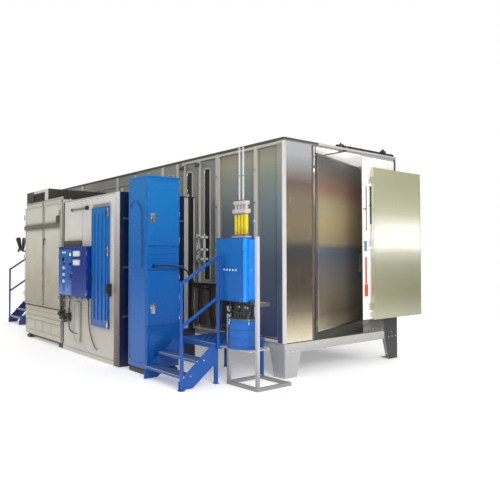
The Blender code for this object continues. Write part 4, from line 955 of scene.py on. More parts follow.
def detail_gun_bay():
    """Brush lips in the slots, bolts on the posts, panel frames, belts, and formed hose runs."""
    brushes, frames, fixings, seams, pulleys, belts = (Shape() for _ in range(6))
    for a, b in ((-2.17, -2.03), (-1.70, -1.57)):
        for edge, inward in ((a, 1), (b, -1)):
            x0, x1 = sorted((edge, edge + inward * ((b - a) / 2 - 0.0004)))
            brushes.box((x0, 0.0035, 1.204), (x1, 0.0075, 2.917), 0.001)
            x0, x1 = sorted((edge - inward * 0.020, edge))
            frames.box((x0, -0.008, 1.20), (x1, -0.0006, 2.92), 0.002)
        for foot, head in ((2.90, 2.922), (1.198, 1.22)):
            frames.box((a - 0.020, -0.008, foot), (b + 0.020, -0.0006, head), 0.002)
    brushes.place("slot_brushes", "rubber")
    frames.place("slot_frames", "post_beige")
    for posts, levels, size in (((-0.52, -1.352), (0.90, 1.40, 1.75, 2.30, 2.75), 0.011),
                                (LIFT_POSTS, (0.62, 1.00), 0.009)):
        for x in posts:
            for z in levels:
                fixings.bolt((x, -0.0405, z), FRONT, size)
    fixings.place("front_frame_bolts", "bright_metal")
    seams.box((-0.93, -0.004, 0.50), (-0.918, -0.0006, 3.05), 0.001)
    seams.frame_strip((-1.30, -0.005, 0.50), (-0.56, -0.0006, 3.05), 1, 0.022)
    seams.frame_strip((-0.48, -0.005, 0.50), (-0.11, -0.0006, 3.05), 1, 0.018)
    seams.place("end_bay_panel_frames", "olive_trim")
    for x in LIFT_POSTS:
        for z in (2.985, 0.545):
            pulleys.rod((x - 0.030, -0.062, z), (x + 0.030, -0.062, z), 0.026, 20, edge=0.003)
            for cheek in (x - 0.038, x + 0.032):
                pulleys.box((cheek, -0.075, z - 0.03), (cheek + 0.006, -0.041, z + 0.03), 0.001)
        belts.box((x - 0.010, -0.0425, 0.55), (x + 0.010, -0.0412, 2.98), 0.0)
    pulleys.place("lift_pulleys", "dark_steel")
    belts.place("lift_belts", "rubber")
    detail_gun_lines()


def detail_gun_lines():
    """Looped feed lines, upright drain and trunk lines, and the manifolds that they leave."""
    brown, drains, trunk, dark, manifold = (Shape() for _ in range(5))
    lines = ((-1.26, 1.56, 0.00), (-1.20, 1.50, 0.02), (-1.12, 1.47, 0.05), (-1.02, 1.44, 0.01),
             (-0.94, 1.40, 0.04), (-0.86, 1.42, 0.06))
    for i, (x, z, out) in enumerate(lines):
        y = -0.085 - out
        brown.tube(((x, -0.02, 0.98 - 0.05 * i), (x - 0.01, y, 1.06), (x + 0.03, y - 0.02, 1.22),
                    (x + 0.10, y, z - 0.08), (x + 0.17, y + 0.01, z - 0.16), (x + 0.20, -0.03, 1.08)),
                   0.013, 8)
    brown.place("gun_feed_lines", "brown_hose")
    for i in range(5):
        x = -1.27 + i * 0.145
        drains.tube(((x, -0.06, 0.60), (x + 0.015, -0.075, 0.75), (x - 0.01, -0.070, 0.90),
                     (x + 0.005, -0.060, 1.02)), 0.016, 8)
    drains.place("gun_drain_lines", "rubber")
    for i, x in enumerate(TRUNK_LINES):
        holder, radius = (trunk, 0.017) if i % 3 else (dark, 0.014)
        holder.tube(((x, -0.062, 1.135), (x + 0.010, -0.076, 0.96), (x - 0.008, -0.070, 0.76),
                     (x, -0.030, 0.535)), radius, 8)
    dark.box((-2.19, -0.088, 1.125), (-1.36, -0.046, 1.165), 0.005)
    trunk.place("gun_trunk_lines", "brown_hose")
    dark.place("gun_trunk_head", "rubber")
    manifold.boxes(0.005, ((-1.31, -0.085, 0.985), (-0.57, -0.042, 1.035)),
                   ((-1.31, -0.070, 0.555), (-0.57, -0.042, 0.600)))
    for i in range(6):
        manifold.stud((-1.26 + i * 0.13, -0.085, 1.01), FRONT, 0.030, 0.012, 12)
    manifold.place("gun_line_manifolds", "olive_trim")


def detail_guns():
    """Clamps, swivels and hose tails of the guns, and the bolts of each carriage."""
    for index, (post, slot) in enumerate(zip(LIFT_POSTS, (-2.10, -1.635)), 1):
        body = f"gun_carriage_{index}"
        grips, tails, heads = Shape(), Shape(), Shape()
        for z in (1.53, 1.67, 1.86):
            grips.ring((slot, -0.068, z), REAR, 0.0192, 0.027, 0.030)
            grips.rod((slot - 0.030, -0.068, z), (slot - 0.052, -0.068, z), 0.008, 6)
            grips.rod((slot, -0.1315, z), (slot, -0.150, z), 0.012, 6)
            tails.tube(((slot, -0.150, z), (slot, -0.178, z - 0.006), (slot - 0.012, -0.192, z - 0.040),
                        (slot - 0.020, -0.170, z - 0.078)), 0.008, 8)
        grips.place(f"gun_clamps_{index}", "bright_metal", body)
        tails.place(f"gun_tails_{index}", "rubber", body)
        for x in (post - 0.008, post + 0.008):
            heads.bolts((x, -0.0568, 1.50), (x, -0.0568, 1.88), 4, FRONT, 0.005)
        heads.place(f"gun_carriage_bolts_{index}", "bright_metal", body)


# ---------------------------------------------------------------- end doors
def detail_inner_door():
    """Edge folds and flush pull of the inner leaf, which stands turned about its pin."""
    low, high = span("inner_door_leaf")
    pin = Vector((-0.035, 0.64, 0.0))
    turn = (Matrix.Translation(pin) @ Matrix.Rotation(math.radians(16.2), 4, "Z")
            @ Matrix.Translation(-pin))
    face = pin.x + 0.0182
    edges, pull = Shape(), Shape()
    edges.frame_strip((face, pin.y + 0.024, low.z + 0.002), (face + 0.003, pin.y + 1.678, high.z - 0.002),
                      0, 0.020)
    pull.frame_strip((face, pin.y + 1.54, 1.32), (face + 0.0028, pin.y + 1.62, 1.60), 0, 0.016, 0.001)
    for shape in (edges, pull):
        bmesh.ops.transform(shape.mesh, matrix=turn, verts=shape.mesh.verts)
    edges.place("inner_door_folds", "olive_trim", "inner_door")
    pull.place("inner_door_pull", "bright_metal", "inner_door")


def detail_outer_door():
    """Edge frame and rivets of the outer leaf; red strip, bar, switch and bolts of its stile."""
    low, high = span("outer_door_leaf")
    low.y = 1.763
    face = high.x
    edges, rivets, strip, bar, keepers = (Shape() for _ in range(5))
    edges.frame_strip((face, low.y + 0.001, low.z + 0.001), (face + 0.003, high.y - 0.001, high.z - 0.001),
                      0, 0.016)
    edges.place("outer_door_folds", "outer_leaf_steel", "outer_door")
    for z in (low.z + 0.06, high.z - 0.06):
        rivets.bolts((face, low.y + 0.10, z), (face, high.y - 0.10, z), 6, (1, 0, 0), 0.005)
    rivets.place("outer_door_rivets", "bright_metal", "outer_door")
    stile = 0.0065               # the face of the plate that carries the hinges
    strip.boxes(0.0015, ((stile, 1.650, 0.98), (stile + 0.004, 1.732, 1.16)),
                ((stile, 1.668, 1.165), (stile + 0.004, 1.712, 1.56)))
    strip.place("stile_red_strip", "signal_red")
    bar.boxes(0.002, ((stile, 1.694, 1.95), (stile + 0.007, 1.710, 2.62)),
              ((stile, 1.630, 2.262), (stile + 0.009, 1.690, 2.278)))
    bar.place("stile_guide_bar", "black_paint")
    plate("stile_switch", "switch_blue", (stile, 1.648, 1.645), (stile + 0.005, 1.714, 1.800))
    keepers.bolts((stile, 1.640, 0.72), (stile, 1.640, 2.82), 9, (1, 0, 0), 0.006)
    keepers.place("stile_keepers", "bright_metal")


# ---------------------------------------------------------------- filter house details
def detail_filter_house():
    """Seams, end pillar with painted reflection bands, side sheet in dark navy as painted reflection and
    shade, with ducts and a black strip of painted shade, bar and lids of the grey house.
    """
    low, high = span("filter_house")
    front, side, skin = low.y, high.x, low.y - 0.0005
    door_low, door_high = span("filter_door")
    seams, ducts, bands, bolts, bar, caps, drip, seal = (Shape() for _ in range(8))
    seams.box((-3.184, front - 0.003, 1.83), (-3.176, skin, high.z - 0.01), 0.001)
    for foot, head in ((high.z - 0.022, high.z - 0.004), (0.06, 0.078)):
        seams.box((low.x + 0.02, front - 0.004, foot), (side - 0.16, skin, head), 0.0015)
    seams.frame_strip((-2.81, front - 0.010, 0.49), (-2.20, skin, 2.34), 1, 0.022)
    seams.place("filter_house_seams", "grey_paint")
    plate("filter_house_joint", "olive_dark", (low.x + 0.001, front - 0.004, 0.10),
          (low.x + 0.038, skin, high.z - 0.012), 0.001)
    # the pillar's colour carries painted reflection and shade bands
    plate("filter_house_pillar", "pillar_steel", (side - 0.150, front - 0.006, 0.004),
          (side - 0.002, front - 0.0008, high.z - 0.002))
    # the side sheet's dark navy is painted reflection and painted shade
    plate("filter_house_side_sheet", "side_navy", (side + 0.0004, front + 0.002, 0.004),
          (side + 0.0024, high.y - 0.002, high.z - 0.002), 0.0005)
    for z in (0.70, 1.40, 2.10):
        bands.box((side + 0.0020, front + 0.05, z), (side + 0.0075, high.y - 0.23, z + 0.03), 0.002)
    bands.place("filter_house_side_bands", "olive_trim")
    for near, far in ((0.215, 0.140), (0.040, 0.004)):
        ducts.box((side + 0.0026, high.y - near, 0.46), (side + 0.012, high.y - far, high.z - 0.02), 0.003)
    ducts.place("filter_house_side_ducts", "post_beige")
    # a black strip of painted shade where a dark slot shows past the side
    plate("filter_house_shade_strip", "black_plastic", (side + 0.0026, high.y - 0.130, 0.46),
          (side + 0.006, high.y - 0.045, high.z - 0.02))
    for z in (high.z - 0.05, 0.12):
        bolts.bolts((low.x + 0.05, front, z), (-2.25, front, z), 9, FRONT, 0.006)
    bolts.bolts((side - 0.075, front - 0.006, 0.15), (side - 0.075, front - 0.006, 2.40), 8, FRONT, 0.006)
    bolts.place("filter_house_bolts", "bright_metal")
    bar.box((-3.54, front - 0.030, 2.315), (-3.00, front - 0.004, 2.345), 0.004)
    for x in (-3.50, -3.08):
        bar.box((x, front - 0.012, 2.325), (x + 0.04, skin, 2.335), 0.001)
    bar.place("filter_house_bar", "olive_trim")
    caps.box((-3.56, front - 0.036, 2.308), (-3.53, front - 0.002, 2.352), 0.005)
    caps.box((-3.02, front - 0.040, 2.302), (-2.955, front - 0.002, 2.362), 0.006)
    caps.place("filter_house_bar_caps", "black_plastic")
    drip.prism(((front - 0.030, 2.352), (skin, 2.372), (skin, 2.352)), 0, -2.80, -2.21)
    drip.place("filter_door_drip_edge", "grey_paint")
    seal.frame_strip((door_low.x + 0.006, front - 0.0038, door_low.z + 0.006),
                     (door_high.x - 0.012, front - 0.0004, door_high.z - 0.006), 1, 0.014)
    seal.place("filter_door_seal", "rubber")
    detail_house_roof(low, high)


def detail_house_roof(low, high):
    """Pulse valves with their air pipe, two lids, and a lifting eye at each corner of the house."""
    top, lid = Shape(), Shape()
    valves = (-3.65, -3.20, -2.75, -2.30)
    pipe = high.z + 0.06
    top.tube(((-3.80, -0.66, pipe), (-2.15, -0.66, pipe)), 0.030, 14)
    for x in valves:
        top.rod((x, -0.85, high.z), (x, -0.85, high.z + 0.05), 0.055, 20, edge=0.006)
        top.rod((x, -0.85, high.z + 0.05), (x, -0.85, high.z + 0.11), 0.030, 16, edge=0.004)
        top.tube(((x, -0.66, pipe), (x, -0.76, high.z + 0.09), (x, -0.84, high.z + 0.09)), 0.014, 10)
    top.place("pulse_valves", "motor_housing")
    for near, far in ((-1.20, -0.98), (-0.56, -0.42)):
        lid.box((-3.30, near, high.z), (-2.60, far, high.z + 0.022), 0.004)
    for x in (low.x + 0.08, high.x - 0.08):
        for y in (low.y + 0.08, high.y - 0.08):
            lid.ring((x, y, high.z + 0.030), REAR, 0.014, 0.026, 0.010)
            lid.box((x - 0.03, y - 0.012, high.z), (x + 0.03, y + 0.012, high.z + 0.008), 0.002)
    lid.place("filter_house_lids", "light_paint")


def detail_filter_door():
    """Hinge barrels, straps and folds of the ribbed door, and the black interlock beside it."""
    low, high = span("filter_door")
    front = low.y
    face = front + 0.0135
    pins, plates, folds, locks = Shape(), Shape(), Shape(), Shape()
    for z in (low.z + 0.07, (low.z + high.z) / 2 + 0.23, high.z - 0.09):
        pins.upright(high.x - 0.001, front + 0.004, z, 0.062, 0.010, 14, edge=0.002)
        plates.box((high.x - 0.070, front - 0.003, z - 0.05), (high.x - 0.010, front + 0.003, z + 0.05),
                   0.003)
        for dz in (-0.03, 0.03):
            pins.bolt((high.x - 0.040, front - 0.003, z + dz), FRONT, 0.006)
    pins.place("filter_door_pins", "bright_metal", "filter_door")
    plates.place("filter_door_straps", "navy_blue", "filter_door")
    folds.frame_strip((low.x + 0.002, face - 0.005, low.z + 0.002), (high.x - 0.014, face, high.z - 0.002),
                      1, 0.012)
    folds.place("filter_door_folds", "cabinet_blue", "filter_door")
    locks.box((-2.212, front - 0.030, 1.03), (-2.176, -1.3345, 1.17), 0.005)
    locks.stud((-2.194, front - 0.030, 1.075), FRONT, 0.008, 0.012, 16, edge=0.002)
    locks.box((-2.206, -1.356, 0.985), (-2.182, -1.3345, 1.032), 0.003)
    locks.place("door_interlock", "black_plastic")


def detail_clutter():
    """Pumps, valves and fixed pipes low on the joint between the house and the module."""
    front = HOUSING_FRONT - 0.0005
    mid = front - 0.030
    dark, pipes, clips, duct = Shape(), Shape(), Shape(), Shape()
    for x, z, size in ((-3.955, 0.60, 0.040), (-3.80, 0.565, 0.048), (-3.62, 0.60, 0.040)):
        dark.rod((x, front, z), (x, front - 0.070, z), size, 18, edge=0.006)
        dark.rod((x, front - 0.068, z), (x, front - 0.085, z), size * 0.6, 6)
        dark.box((x - 0.03, front - 0.050, z - 0.095), (x + 0.03, front - 0.002, z - 0.045), 0.005)
        dark.rod((x, mid, z + 0.03), (x, mid, z + 0.12), 0.014, 12)
    dark.box((-3.90, front - 0.045, 0.50), (-3.60, front - 0.010, 0.535), 0.005)
    dark.place("air_valves", "black_paint")
    for radius, route in (
            (0.011, ((-3.80, mid, 0.92), (-3.80, mid, 0.70))),
            (0.011, ((-3.60, front - 0.028, 0.92), (-3.60, front - 0.028, 0.80), (-3.62, mid, 0.70))),
            (0.010, ((-3.955, mid, 0.70), (-3.955, mid, 0.92), (-3.955, mid, 1.30))),
            (0.011, ((-3.62, mid, 0.50), (-3.60, mid, 0.38), (-3.48, front - 0.025, 0.33),
                     (-3.30, front - 0.025, 0.33))),
            (0.008, ((-2.90, front - 0.020, 0.92), (-2.90, front - 0.020, 0.60),
                     (-2.84, front - 0.018, 0.38), (-2.72, front - 0.018, 0.22),
                     (-2.62, front - 0.018, 0.16)))):
        pipes.tube(route, radius, 10)
    pipes.place("fixed_pipes", "dark_steel")
    for x, z in ((-3.80, 0.84), (-3.60, 0.86), (-2.90, 0.80), (-2.90, 0.62), (-3.955, 1.10)):
        clips.box((x - 0.020, front - 0.044, z - 0.008), (x + 0.020, front - 0.0005, z + 0.008), 0.002)
    clips.place("pipe_clips", "bright_metal")
    duct.box((-3.42, front - 0.030, 0.20), (-3.20, front - 0.001, 0.84), 0.006)
    duct.frame_strip((-3.41, front - 0.034, 0.21), (-3.21, front - 0.029, 0.83), 1, 0.014)
    duct.place("cable_duct", "olive_trim")


# ---------------------------------------------------------------- control box details
def detail_control_box():
    """Blue fascia, bezels, lamps and knobs on the left bay, rain lip, glands and bracket cover."""
    low, high = span("control_box")
    front = low.y
    split = span("control_box_door")[0].x
    button = span("start_button")
    button_x = button[0].x / 2 + button[1].x / 2
    lamp_x, foot, head = split - 0.075, low.z + 0.02, 1.68
    fascia, rings, lamps, knobs, lip, glands = (Shape() for _ in range(6))
    for x0, x1, z0, z1 in ((low.x + 0.02, button_x - 0.040, foot, head),
                           (button_x + 0.040, split - 0.016, foot, head),
                           (button_x - 0.039, button_x + 0.039, 1.575, head),
                           (button_x - 0.039, button_x + 0.039, foot, 1.112)):
        fascia.box((x0, front - 0.0030, z0), (x1, front - 0.0004, z1), 0.001)
    fascia.place("control_fascia", "panel_blue")
    for z in (1.16, 1.27, 1.38, 1.52):
        rings.ring((button_x, front - 0.0045, z), REAR, 0.033, 0.042, 0.008)
    rings.frame_strip((button_x - 0.075, front - 0.0055, 1.60), (button_x + 0.075, front - 0.0030, 1.665),
                      1, 0.008)
    rings.place("control_bezels", "bright_metal")
    for dx in (-0.045, 0.0, 0.045):
        lamps.stud((button_x + dx, front - 0.003, 1.632), FRONT, 0.009, 0.011, 16, edge=0.002)
    lamps.stud((lamp_x, front - 0.003, 1.60), FRONT, 0.015, 0.026, 20, edge=0.004)
    lamps.place("control_lamps", "led_green")
    knobs.ring((lamp_x, front - 0.006, 1.60), REAR, 0.0265, 0.036, 0.010)
    knobs.stud((lamp_x, front - 0.003, 1.44), FRONT, 0.027, 0.020, 20, edge=0.003)
    knobs.box((lamp_x - 0.025, front - 0.012, 1.20), (lamp_x + 0.025, front - 0.003, 1.30), 0.003)
    knobs.place("control_knobs", "black_plastic")
    out, back = front - 0.030, front + 0.084
    lip.prism(((out, high.z - 0.102), (out, high.z - 0.094), (back, high.z - 0.090), (back, high.z - 0.102)),
              0, low.x - 0.004, high.x + 0.004, 0.001)
    lip.place("control_rain_lip", "navy_blue")
    plate("control_bracket_cover", "trim_dark", (-3.765, -1.3850, 1.7245), (-3.195, -1.3302, 1.8240), 0.004)
    for x in (-3.80, -3.60, -3.30, -3.10, -2.90):
        glands.rod((x, front + 0.050, low.z), (x, front + 0.050, low.z - 0.028), 0.017, 12, 0.013)
    glands.place("control_glands", "black_plastic")
    detail_control_door(front - 0.022)


def detail_control_door(face):
    """Folded border, two displays with their keys, the lock and the hinges of the screen door."""
    low, high = span("control_box_door")
    body = "control_box_door"
    folds, screens, rims, keys, lock = (Shape() for _ in range(5))
    folds.frame_strip((low.x + 0.003, face - 0.003, low.z + 0.003), (high.x - 0.003, face, high.z - 0.003),
                      1, 0.012)
    folds.place("control_door_folds", "navy_blue", body)
    a, b, skin = low.x + 0.058, low.x + 0.354, face - 0.0045
    for z in (1.42, 1.56):
        screens.box((a + 0.020, face - 0.0068, z + 0.020), (b - 0.070, skin, z + 0.084), 0.001)
        rims.frame_strip((a + 0.008, face - 0.0090, z + 0.008), (b - 0.058, skin, z + 0.096), 1, 0.010)
        for i in range(3):
            key = z + 0.018 + i * 0.026
            keys.box((b - 0.046, face - 0.0085, key), (b - 0.018, skin, key + 0.018), 0.002)
    screens.place("control_screens", "screen_glow", body)
    rims.place("control_screen_rims", "white_plastic", body)
    keys.place("control_keys", "white_plastic", body)
    lock.stud((low.x + 0.030, face, 1.30), FRONT, 0.014, 0.014, 20, edge=0.002)
    lock.box((low.x + 0.027, face - 0.017, 1.289), (low.x + 0.033, face - 0.013, 1.311), 0.001)
    for z in (1.00, 1.62):
        lock.upright(high.x - 0.002, face + 0.004, z, 0.03, 0.006, 12, edge=0.001)
    lock.place("control_door_lock", "bright_metal", body)


# ---------------------------------------------------------------- powder module details
def detail_module():
    """Cornice, window, bands, grooves, side frames, bolts, aprons, blower and air nozzles."""
    low = span("powder_module")[0]
    front, back, far_end, peak = HOUSING_FRONT, -0.152, -3.985, 2.8035
    deep, skin = front + 0.012, front - 0.0008
    cladding, rims, grooves, louvres, bolts, apron, blower = (Shape() for _ in range(7))
    cladding.boxes(0.001, ((-4.6795, deep, 2.5715), (-4.6755, back, peak)),
                   ((-5.7725, deep, 2.8003), (-4.6755, back, peak)),
                   ((-5.7745, deep, 2.552), (-5.7705, back, peak)),
                   ((-5.7725, front + 0.0065, 2.5515), (-5.40, front + 0.0098, peak)),
                   ((-4.673, deep, 2.5505), (far_end, -0.16, 2.556)))
    cladding.place("module_cornice_cladding", "olive_dark")
    plate("module_window", "black_plastic", (-5.595, front + 0.016, 2.605), (-4.855, front + 0.020, 2.735),
          0.001)
    rims.frame_strip((-5.615, front + 0.003, 2.585), (-4.835, front + 0.0085, 2.755), 1, 0.018)
    rims.box((-4.905, front - 0.006, 2.14), (-4.880, front - 0.001, 2.56), 0.002)
    rims.place("module_window_rim", "trim_dark")
    plate("module_bands", "grey_paint", (low.x + 0.03, front + 0.004, 2.552), (far_end, deep, 2.60), 0.003)
    for foot, head in ((0.600, 0.650), (0.395, 0.430)):
        grooves.box((low.x + 0.01, front - 0.006, foot), (-4.0, skin, head), 0.002)
    grooves.box((-4.026, front - 0.004, 0.11), (-3.9835, skin, 2.545), 0.001)
    grooves.place("module_grooves", "rail_olive")
    for i in range(9):
        z = 0.72 + i * 0.055
        louvres.prism(((-0.95, z), (-0.45, z), (-0.45, z + 0.012), (-0.95, z + 0.012)), 0,
                      low.x + 0.010, low.x + 0.0195)
    for x in (-5.7545, -3.9795):
        for foot, head in ((0.14, 1.20), (1.28, 2.48)):
            louvres.frame_strip((x, -1.28, foot), (x + 0.004, -0.10, head), 0, 0.030)
    louvres.place("module_side_frames", "grey_paint")
    for z, out, count in ((0.42, 0.020, 8), (0.60, 0.020, 8), (0.14, 0.0, 6)):
        bolts.bolts((low.x + 0.10, front - out, z), (-4.08, front - out, z), count, FRONT, 0.008)
    bolts.place("module_bolts", "bright_metal")
    apron.frame_strip((low.x + 0.06, front - 0.005, 0.17), (-4.05, front - 0.0006, 0.375), 1, 0.016)
    for x in (-5.25, -4.86, -4.47):
        apron.box((x - 0.008, front - 0.005, 0.18), (x + 0.008, front - 0.0006, 0.365), 0.001)
    apron.place("module_apron_frames", "grey_paint")
    blower.rod((low.x - 0.06, -1.16, 0.10), (low.x, -1.16, 0.10), 0.055, 20, edge=0.008)
    blower.rod((low.x - 0.16, -1.16, 0.10), (low.x - 0.055, -1.16, 0.10), 0.045, 20, edge=0.008)
    blower.box((low.x - 0.15, -1.22, 0.0), (low.x - 0.02, -1.10, 0.05), 0.006)
    blower.place("module_blower", "motor_housing")
    detail_air_nozzles(low.x, front + 0.055)


def detail_air_nozzles(side, y):
    """Two flared nozzles on an arm that stands out from the module's left side."""
    arm = Shape()
    arm.box((side - 0.012, y - 0.030, 1.60), (side - 0.0005, y + 0.035, 1.80), 0.003)
    arm.tube([(side - reach, y, z) for reach, z in ((0.008, 1.66), (0.22, 1.665), (0.40, 1.68),
                                                    (0.58, 1.72))], 0.016, 10)
    arm.rod((side - 0.50, y, 1.71), (side - 0.64, y, 1.93), 0.026, 16, 0.050, edge=0.003)
    arm.rod((side - 0.38, y, 1.69), (side - 0.26, y, 1.92), 0.024, 16, 0.046, edge=0.003)
    arm.rod((side - 0.58, y, 1.72), (side - 0.63, y, 1.66), 0.020, 12, edge=0.002)
    arm.place("module_air_nozzles", "black_paint")


def detail_module_doors():
    """Borders, rails, gaskets and hinges of the two module doors, which turn with them."""
    for side in ("left", "right"):
        low, high = span(f"powder_module_door_{side}")
        body = f"module_door_{side}"
        left = side == "left"
        face = min(low.y, HOUSING_FRONT - 0.022)
        skin, strip = face - 0.0006, 0.014
        a, b = low.x + 0.012, high.x - 0.012
        fixed = a if left else b - strip
        borders, gasket, pins = Shape(), Shape(), Shape()
        for z0, z1 in ((low.z + 0.012, 2.060), (2.160, high.z - 0.012)):
            borders.box((fixed, skin, z0), (fixed + strip, face + 0.001, z1), 0.0002)
            for z in (z0, z1 - strip):
                borders.box((a + strip, skin, z), (b - strip, face + 0.001, z + strip), 0.0002)
        borders.place(f"module_door_borders_{side}", "grey_paint", body)
        plate(f"module_lift_rail_{side}", "rail_olive", (low.x + 0.004, face - 0.012, 2.070),
              (high.x - 0.003, face - 0.0004, 2.150), 0.003, body)
        x0, x1 = (b, high.x - 0.0015) if left else (low.x + 0.0015, a)
        gasket.box((x0 - 0.006, face - 0.0018, low.z + 0.003), (x1, face - 0.0003, high.z - 0.003), 0.0005)
        gasket.place(f"module_door_gasket_{side}", "trim_dark", body, "rubber")
        hinge_x = low.x + 0.004 if left else high.x - 0.004
        for z in (low.z + 0.18, 1.55, high.z - 0.18):
            pins.upright(hinge_x, face - 0.003, z, 0.05, 0.009, 14, edge=0.002)
        inner = b - 0.03 if left else a + 0.03
        pins.bolts((inner, face - 0.0015, 0.80), (inner, face - 0.0015, 1.50), 4, FRONT, 0.006)
        pins.place(f"module_door_pins_{side}", "bright_metal", body)
    front = span("powder_module_door_right")[0].y
    block = Shape()
    block.box((-4.095, front - 0.030, 2.14), (-4.010, front - 0.001, 2.27), 0.006)
    block.stud((-4.052, front - 0.030, 2.20), FRONT, 0.014, 0.020, 6)
    block.place("module_rail_end", "trim_dark", "module_door_right")


# ---------------------------------------------------------------- tall cabinet details
def detail_cabinet():
    """Top cap, bands, side frames, screws, conduit arc, lifting eyes and doors of the blue cabinet."""
    low, high = span("control_cabinet")
    face, near = high.x + 0.0008, low.y
    band, side, screws, arc = Shape(), Shape(), Shape(), Shape()
    plate("cabinet_top_cap", "cabinet_blue", (low.x - 0.008, low.y - 0.008, high.z - 0.004),
          (high.x + 0.020, high.y + 0.008, high.z + 0.016), 0.004)
    for foot, head, inset, out in (
            (1.40, 1.415, 0.006, 0.016), (0.115, 0.135, 0.006, 0.012), (0.605, 0.625, 0.006, 0.012),
            *((z, z + 0.014, 0.012, 0.010) for z in (1.475, 1.545, 1.615, 1.685))):
        band.box((face, near + inset, foot), (high.x + out, high.y - inset, head), 0.003)
    band.frame_strip((face, near + 0.04, 0.17), (high.x + 0.006, high.y - 0.04, 0.56), 0, 0.014)
    a, b = near + 0.12, high.y - 0.12
    for i in range(6):
        z = 0.26 + i * 0.035
        band.prism(((a, z), (b, z), (b, z + 0.020), (a, z + 0.010)), 0, face, high.x + 0.010)
    band.place("cabinet_bands", "cabinet_blue")
    a, b = low.x + 0.03, high.x - 0.03
    for y, foot, head in ((near - 0.005, 0.14, 1.33), (near - 0.005, 1.38, 2.58),
                          (high.y + 0.0006, 0.14, 2.58)):
        side.frame_strip((a, y, foot), (b, y + 0.0044, head), 1, 0.012)
    side.place("cabinet_side_frames", "cabinet_blue")
    for z in (0.16, 1.31, 1.40, 2.56):
        screws.bolts((low.x + 0.05, near - 0.005, z), (high.x - 0.05, near - 0.005, z), 3, FRONT, 0.005)
    for x in (low.x + 0.06, high.x - 0.06):
        for y in (near + 0.06, high.y - 0.06):
            screws.ring((x, y, high.z + 0.036), REAR, 0.012, 0.023, 0.009)
    screws.place("cabinet_screws", "bright_metal")
    route = [(low.x + dx, near - 0.014, z) for dx, z in ((0.14, 2.32), (0.27, 2.30), (0.36, 2.16),
                                                         (0.385, 1.80), (0.385, 1.42))]
    arc.tube([(low.x + 0.06, near - 0.012, 2.24), *route], 0.006, 8)
    arc.place("cabinet_side_conduit", "navy_blue")
    for which in ("upper", "lower"):
        detail_cabinet_door(which)


def detail_cabinet_door(which):
    """Folded lips, hinges and handle plate of one cabinet door."""
    body = f"cabinet_door_{which}"
    a, b = span(body)
    grip_low, grip_high = span(f"cabinet_handle_{which}")
    y = (grip_low.y + grip_high.y) / 2
    skin = b.x - 0.001
    lips, pins = Shape(), Shape()
    lips.frame_strip((skin, a.y + 0.004, a.z + 0.004), (b.x + 0.003, b.y - 0.004, b.z - 0.004), 0, 0.012)
    lips.frame_strip((skin, a.y + 0.13, a.z + 0.07), (b.x + 0.0022, b.y - 0.04, b.z - 0.07), 0, 0.006)
    lips.place(f"cabinet_lips_{which}", "cabinet_blue", body)
    for z in (a.z + 0.08, (a.z + b.z) / 2, b.z - 0.08):
        pins.upright(b.x + 0.003, b.y - 0.001, z, 0.03, 0.007, 12, edge=0.001)
    pins.box((skin, y - 0.036, grip_high.z - 0.115), (b.x + 0.0004, y + 0.036, grip_high.z + 0.020), 0.0005)
    pins.place(f"cabinet_pins_{which}", "bright_metal", body)


# ---------------------------------------------------------------- platform and rail details
DECK = 0.49                  # height of both platforms
TREAD_PITCH = 0.055          # spacing of the raised lozenges


def add_lozenge(shape, x, y, lean):
    """One raised lozenge of the tread plate; the lean is 1 or -1."""
    along = Vector((0.017, 0.017 * lean, 0.0))
    across = Vector((-0.0045 * lean, 0.0045, 0.0))
    foot = Vector((x, y, DECK))
    crest = foot + Vector((0, 0, 0.0035))
    ring = [shape.mesh.verts.new(foot + p) for p in (-along, across, along, -across)]
    tip = shape.mesh.verts.new(crest + along * 0.45)
    tail = shape.mesh.verts.new(crest - along * 0.45)
    for face in ((ring[0], ring[1], tail), (ring[1], tip, tail), (ring[1], ring[2], tip),
                 (ring[2], ring[3], tip), (ring[3], tail, tip), (ring[3], ring[0], tail),
                 (ring[3], ring[2], ring[1], ring[0])):
        shape.mesh.faces.new(face)


